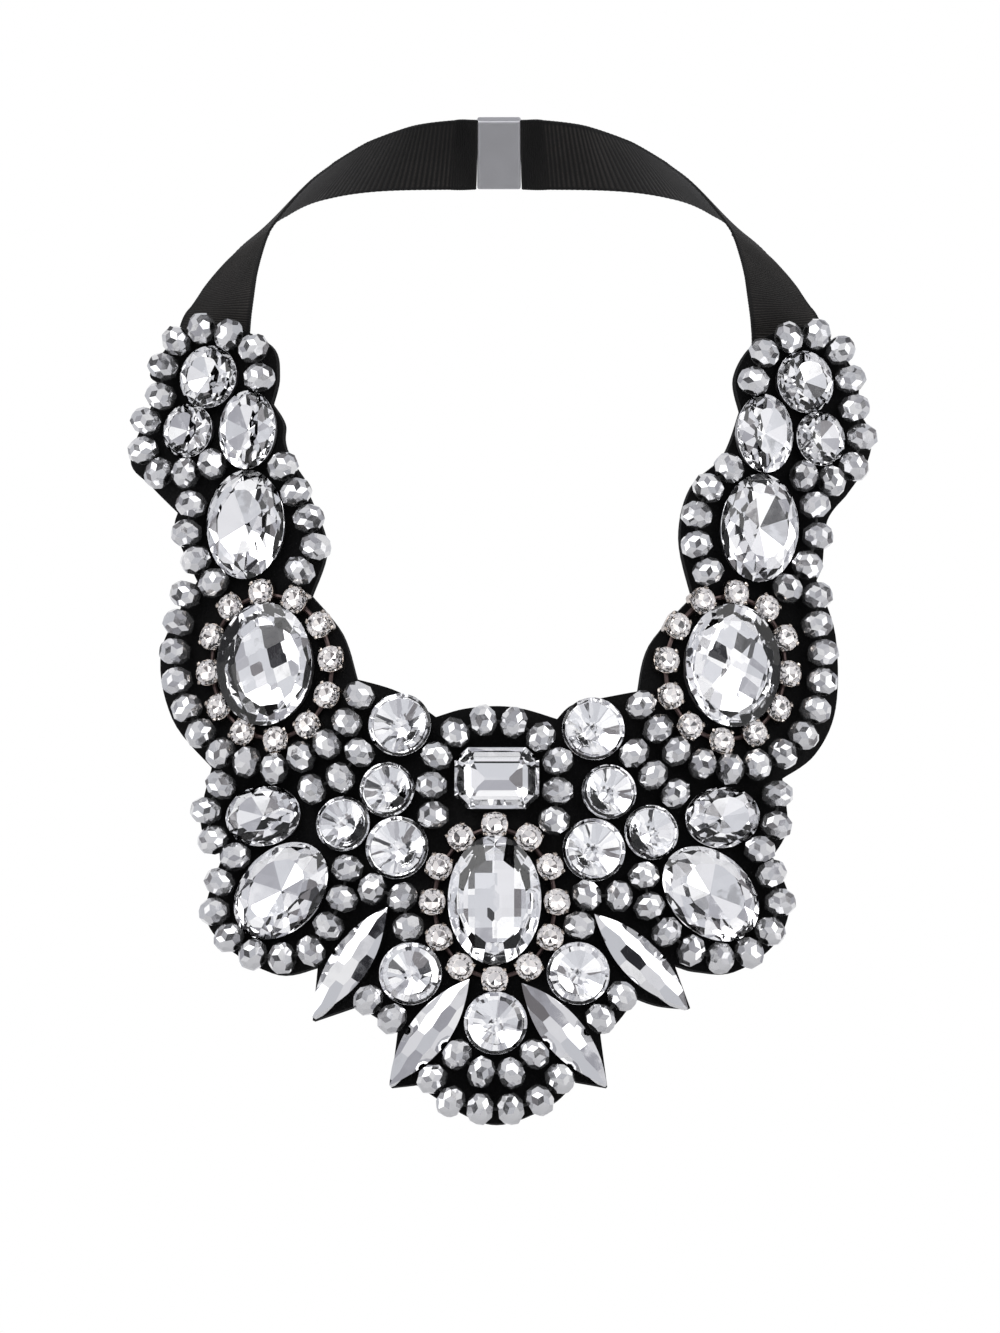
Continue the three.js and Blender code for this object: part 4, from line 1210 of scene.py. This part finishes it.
def rib_shade_group():
    """A colour factor from its own UV map: painted shade between the ribs, and dark along both selvedges."""
    group, given, out = surface_group("painted_rib_shade", [
        ("Vector", "INPUT", "Vector", None),
        ("Shade Between Ribs", "INPUT", "Float", 0.02),
        ("Selvedge", "INPUT", "Float", 0.12),
        ("Shade", "OUTPUT", "Float", None),
    ])
    parts = add_node(group, "SeparateXYZ")
    turn = add_node(group, "Math", {1: 2 * math.pi}, operation="MULTIPLY")
    wave = add_node(group, "Math", operation="COSINE")
    # Painted shade: where the ribs' valleys lie, the colour falls to the lowest value.
    rib_shade = add_node(group, "MapRange", {"From Min": -1, "From Max": 0.4, "To Max": 1})
    middle = add_node(group, "Math", {1: 0.5}, operation="SUBTRACT")
    aside = add_node(group, "Math", operation="ABSOLUTE")
    edge = add_node(group, "MapRange", {"From Min": 0.44, "From Max": 0.47, "To Min": 1})
    both = add_node(group, "Math", operation="MULTIPLY")
    join(group, [
        (given, "Vector", parts, "Vector"),
        (parts, "Y", turn, 0),
        (turn, "Value", wave, 0),
        (wave, "Value", rib_shade, "Value"),
        (given, "Shade Between Ribs", rib_shade, "To Min"),
        (parts, "X", middle, 0),
        (middle, "Value", aside, 0),
        (aside, "Value", edge, "Value"),
        (given, "Selvedge", edge, "To Max"),
        (rib_shade, "Result", both, 0),
        (edge, "Result", both, 1),
        (both, "Value", out, "Shade"),
    ])
    return group


def ribbon_finish(fibres):
    """Charcoal grosgrain: fibres with painted shade between the ribs, and darker along both selvedges."""
    material, shader = new_finish("charcoal_grosgrain", (0.02, 0.02, 0.02), 0.7, 0, {
        "Specular IOR Level": 0.25, "Sheen Weight": 0.04})
    cloth = add_group(
        material, fibres, "Object", Scale=2600.0,
        Shade=(0.012, 0.0105, 0.0092, 1), Lint=(0.046, 0.041, 0.037, 1))
    # Painted shade between the ribs darkens the fibre colour, which is also darker along both selvedges.
    rib_shade_uv = add_group(material, rib_shade_group(), "UV")
    shade = add_node(material.node_tree, "VectorMath", operation="SCALE")
    join(material.node_tree, [
        (cloth, "Color", shade, 0),
        (rib_shade_uv, "Shade", shade, "Scale"),
        (shade, "Vector", shader, "Base Color"),
    ])
    add_bump(material, shader, cloth, 0.4, 0.0001)
    return material


def make_finishes():
    """All the finishes, by the part of the necklace that they are for."""
    smudges = smudge_group()
    fibres = fibre_group()
    coat = {"Coat Weight": 0.4, "Coat Roughness": 0.03}
    return {
        "crystal": glass_finish("cut_glass", (1, 1, 1)),
        "rhinestone": glass_finish("champagne_glass", (1, 0.955, 0.91)),
        "foil": metal_finish("foil_backing", (0.95, 0.95, 0.96), 0.0, 0.06, smudges),
        "setting": metal_finish("dull_setting", (0.45, 0.45, 0.46), 0.3, 0.5, smudges),
        "cup": metal_finish("cup_metal", (0.7, 0.63, 0.57), 0.12, 0.3, smudges),
        "link": metal_finish("brown_link", (0.09, 0.065, 0.062), 0.3, 0.5, smudges),
        "navette": metal_finish("silvered_glass", (0.78, 0.78, 0.79), 0.02, 0.08, smudges),
        "bead": metal_finish("silver_bead", (0.66, 0.66, 0.67), 0.04, 0.14, smudges, 700.0, 0.9, coat),
        # Near-black: the real black thread, and painted shade in the beads' drilled holes.
        "thread_and_hole_shade": new_finish("black_thread_and_hole_shade", (0.01, 0.01, 0.01), 0.6)[0],
        "felt": felt_finish(fibres),
        "ribbon": ribbon_finish(fibres),
        "clasp": metal_finish("brushed_clasp", (0.55, 0.55, 0.57), 0.34, 0.4, smudges),
    }


# Frame of the photograph in the chart's units, and the part of the bib that is seen at true size
IMAGE = {"width": 1000, "height": 1333}
BIB_FRONT = -0.105
VIEW_DISTANCE = 5.0
SENSOR = 0.036


def make_camera():
    """A far, level camera whose frame spans the photograph's at the bib."""
    frame_height = IMAGE["height"] * UNIT_DOWN
    camera = bpy.data.cameras.new("camera")
    camera.sensor_width = SENSOR * 1000
    camera.lens = SENSOR / frame_height * VIEW_DISTANCE * 1000
    camera.clip_end = 100
    holder = add_object("camera", camera)
    middle_x = (IMAGE["width"] / 2 - CHART["centre"]) * UNIT_ACROSS
    middle_z = (CHART["nape"] - IMAGE["height"] / 2) * UNIT_DOWN
    holder.location = (middle_x, BIB_FRONT - VIEW_DISTANCE, middle_z)
    holder.rotation_euler = (math.pi / 2, 0, 0)
    bpy.context.scene.camera = holder


# Soft boxes round the view axis: clock angle and tilt off the axis in degrees, sizes in metres
SOFT_BOXES = [
    {"name": "key", "clock": 125, "tilt": 52, "width": 0.7, "height": 0.45, "radiance": 2.4},
    {"name": "fill", "clock": 40, "tilt": 58, "width": 0.5, "height": 0.6, "radiance": 1.8},
    {"name": "left_side", "clock": 185, "tilt": 68, "width": 0.35, "height": 0.6, "radiance": 1.5},
    {"name": "right_side", "clock": -20, "tilt": 70, "width": 0.3, "height": 0.5, "radiance": 1.5},
    {"name": "low", "clock": 262, "tilt": 58, "width": 0.8, "height": 0.3, "radiance": 1.4},
]
LIGHT_DISTANCE = 0.9
BIB_MIDDLE = Vector((0, -0.1, -0.12))


def make_lights():
    """The soft boxes, each aimed at the middle of the bib."""
    for box in SOFT_BOXES:
        clock, tilt = math.radians(box["clock"]), math.radians(box["tilt"])
        sideways = math.sin(tilt)
        away = Vector((sideways * math.cos(clock), -math.cos(tilt), sideways * math.sin(clock)))
        light = bpy.data.lights.new(box["name"], "AREA")
        light.shape = "RECTANGLE"
        light.size = box["width"]
        light.size_y = box["height"]
        light.energy = box["radiance"] * math.pi * box["width"] * box["height"]
        holder = add_object(box["name"], light)
        holder.location = BIB_MIDDLE + away * LIGHT_DISTANCE
        holder.rotation_euler = (-away).to_track_quat("-Z", "Y").to_euler()


# Room seen in reflections: panels in plain tones, each from its share of the panels upwards
ROOM_TONES = [
    {"share": 0, "color": (0.03, 0.03, 0.035)},
    {"share": 0.09, "color": (0.2, 0.19, 0.2)},
    {"share": 0.2, "color": (0.42, 0.42, 0.46)},
    {"share": 0.32, "color": (0.66, 0.67, 0.71)},
    {"share": 0.5, "color": (0.84, 0.84, 0.87)},
    {"share": 0.72, "color": (1.02, 1.02, 1.03)},
]
ROOM_SCALE = 6.2
ROOM_OFFSET = (0.35, 0.2, 0.4)


def make_world():
    """White behind the necklace; in reflections a pale room of plain panels and a few dark flags."""
    world = bpy.data.worlds.new("studio")
    bpy.context.scene.world = world
    world.use_nodes = True
    tree = world.node_tree
    tree.nodes.clear()
    place = add_node(tree, "TexCoord")
    shift = add_node(tree, "Mapping", {"Location": ROOM_OFFSET})
    panels = add_node(tree, "TexVoronoi", {"Scale": ROOM_SCALE}, distance="CHEBYCHEV")
    tone = add_node(tree, "SeparateColor")
    ramp = add_node(tree, "ValToRGB")
    ramp.color_ramp.interpolation = "CONSTANT"
    stops = ramp.color_ramp.elements
    stops.remove(stops[1])
    for number, row in enumerate(ROOM_TONES):
        stop = stops[0] if number == 0 else stops.new(row["share"])
        stop.position = row["share"]
        stop.color = (*row["color"], 1)
    room = add_node(tree, "Background")
    white = add_node(tree, "Background", {"Color": (1, 1, 1, 1)})
    path = add_node(tree, "LightPath")
    mix = add_node(tree, "MixShader")
    out = add_node(tree, "OutputWorld")
    join(tree, [
        (place, "Generated", shift, "Vector"),
        (shift, "Vector", panels, "Vector"),
        (panels, "Color", tone, "Color"),
        (tone, "Red", ramp, "Fac"),
        (ramp, "Color", room, "Color"),
        (path, "Is Camera Ray", mix, "Fac"),
        (room, "Background", mix, 1),
        (white, "Background", mix, 2),
        (mix, "Shader", out, "Surface"),
    ])


FLOOR_DROP = 0.29
FLOOR_RADIUS = 0.25
FLOOR_CENTRE = -0.06


def make_floor():
    """A round floor below the necklace, part of the stage."""
    bm = bmesh.new()
    bmesh.ops.create_circle(bm, cap_ends=True, segments=64, radius=FLOOR_RADIUS)
    bmesh.ops.translate(bm, verts=bm.verts, vec=(0, FLOOR_CENTRE, -FLOOR_DROP))
    material, _ = new_finish("pale_floor", (0.82, 0.82, 0.82), 0.6)
    mesh_object("floor", bm, [material])


def make_necklace():
    """All its pieces: the layout is eased first, then each piece is made at its place."""
    chance = random.Random(11)
    finishes = make_finishes()
    stones = [lay_stone(row) for row in STONES]
    rings = [(row, lay_cups(row, stone)) for row, stone in zip(STONES, stones) if row["cut"] in RINGED]
    strings = [(row, lay_beads(row)) for row in STRINGS]
    cups = [cup for _, ring in rings for cup in ring]
    beads = [bead for _, string in strings for bead in string]
    settle(stones + cups + beads)
    make_felt(finishes)
    for side in SIDES:
        make_ribbon(side, finishes)
    make_clasp(finishes)
    for row, stone in zip(STONES, stones):
        make_stone(row, stone, finishes, chance)
    for row, ring in rings:
        make_ring(row, ring, finishes)
    for row, string in strings:
        make_string(row, string, finishes, chance)


bpy.context.scene.view_settings.view_transform = "Standard"
make_camera()
make_lights()
make_world()
make_floor()
make_necklace()
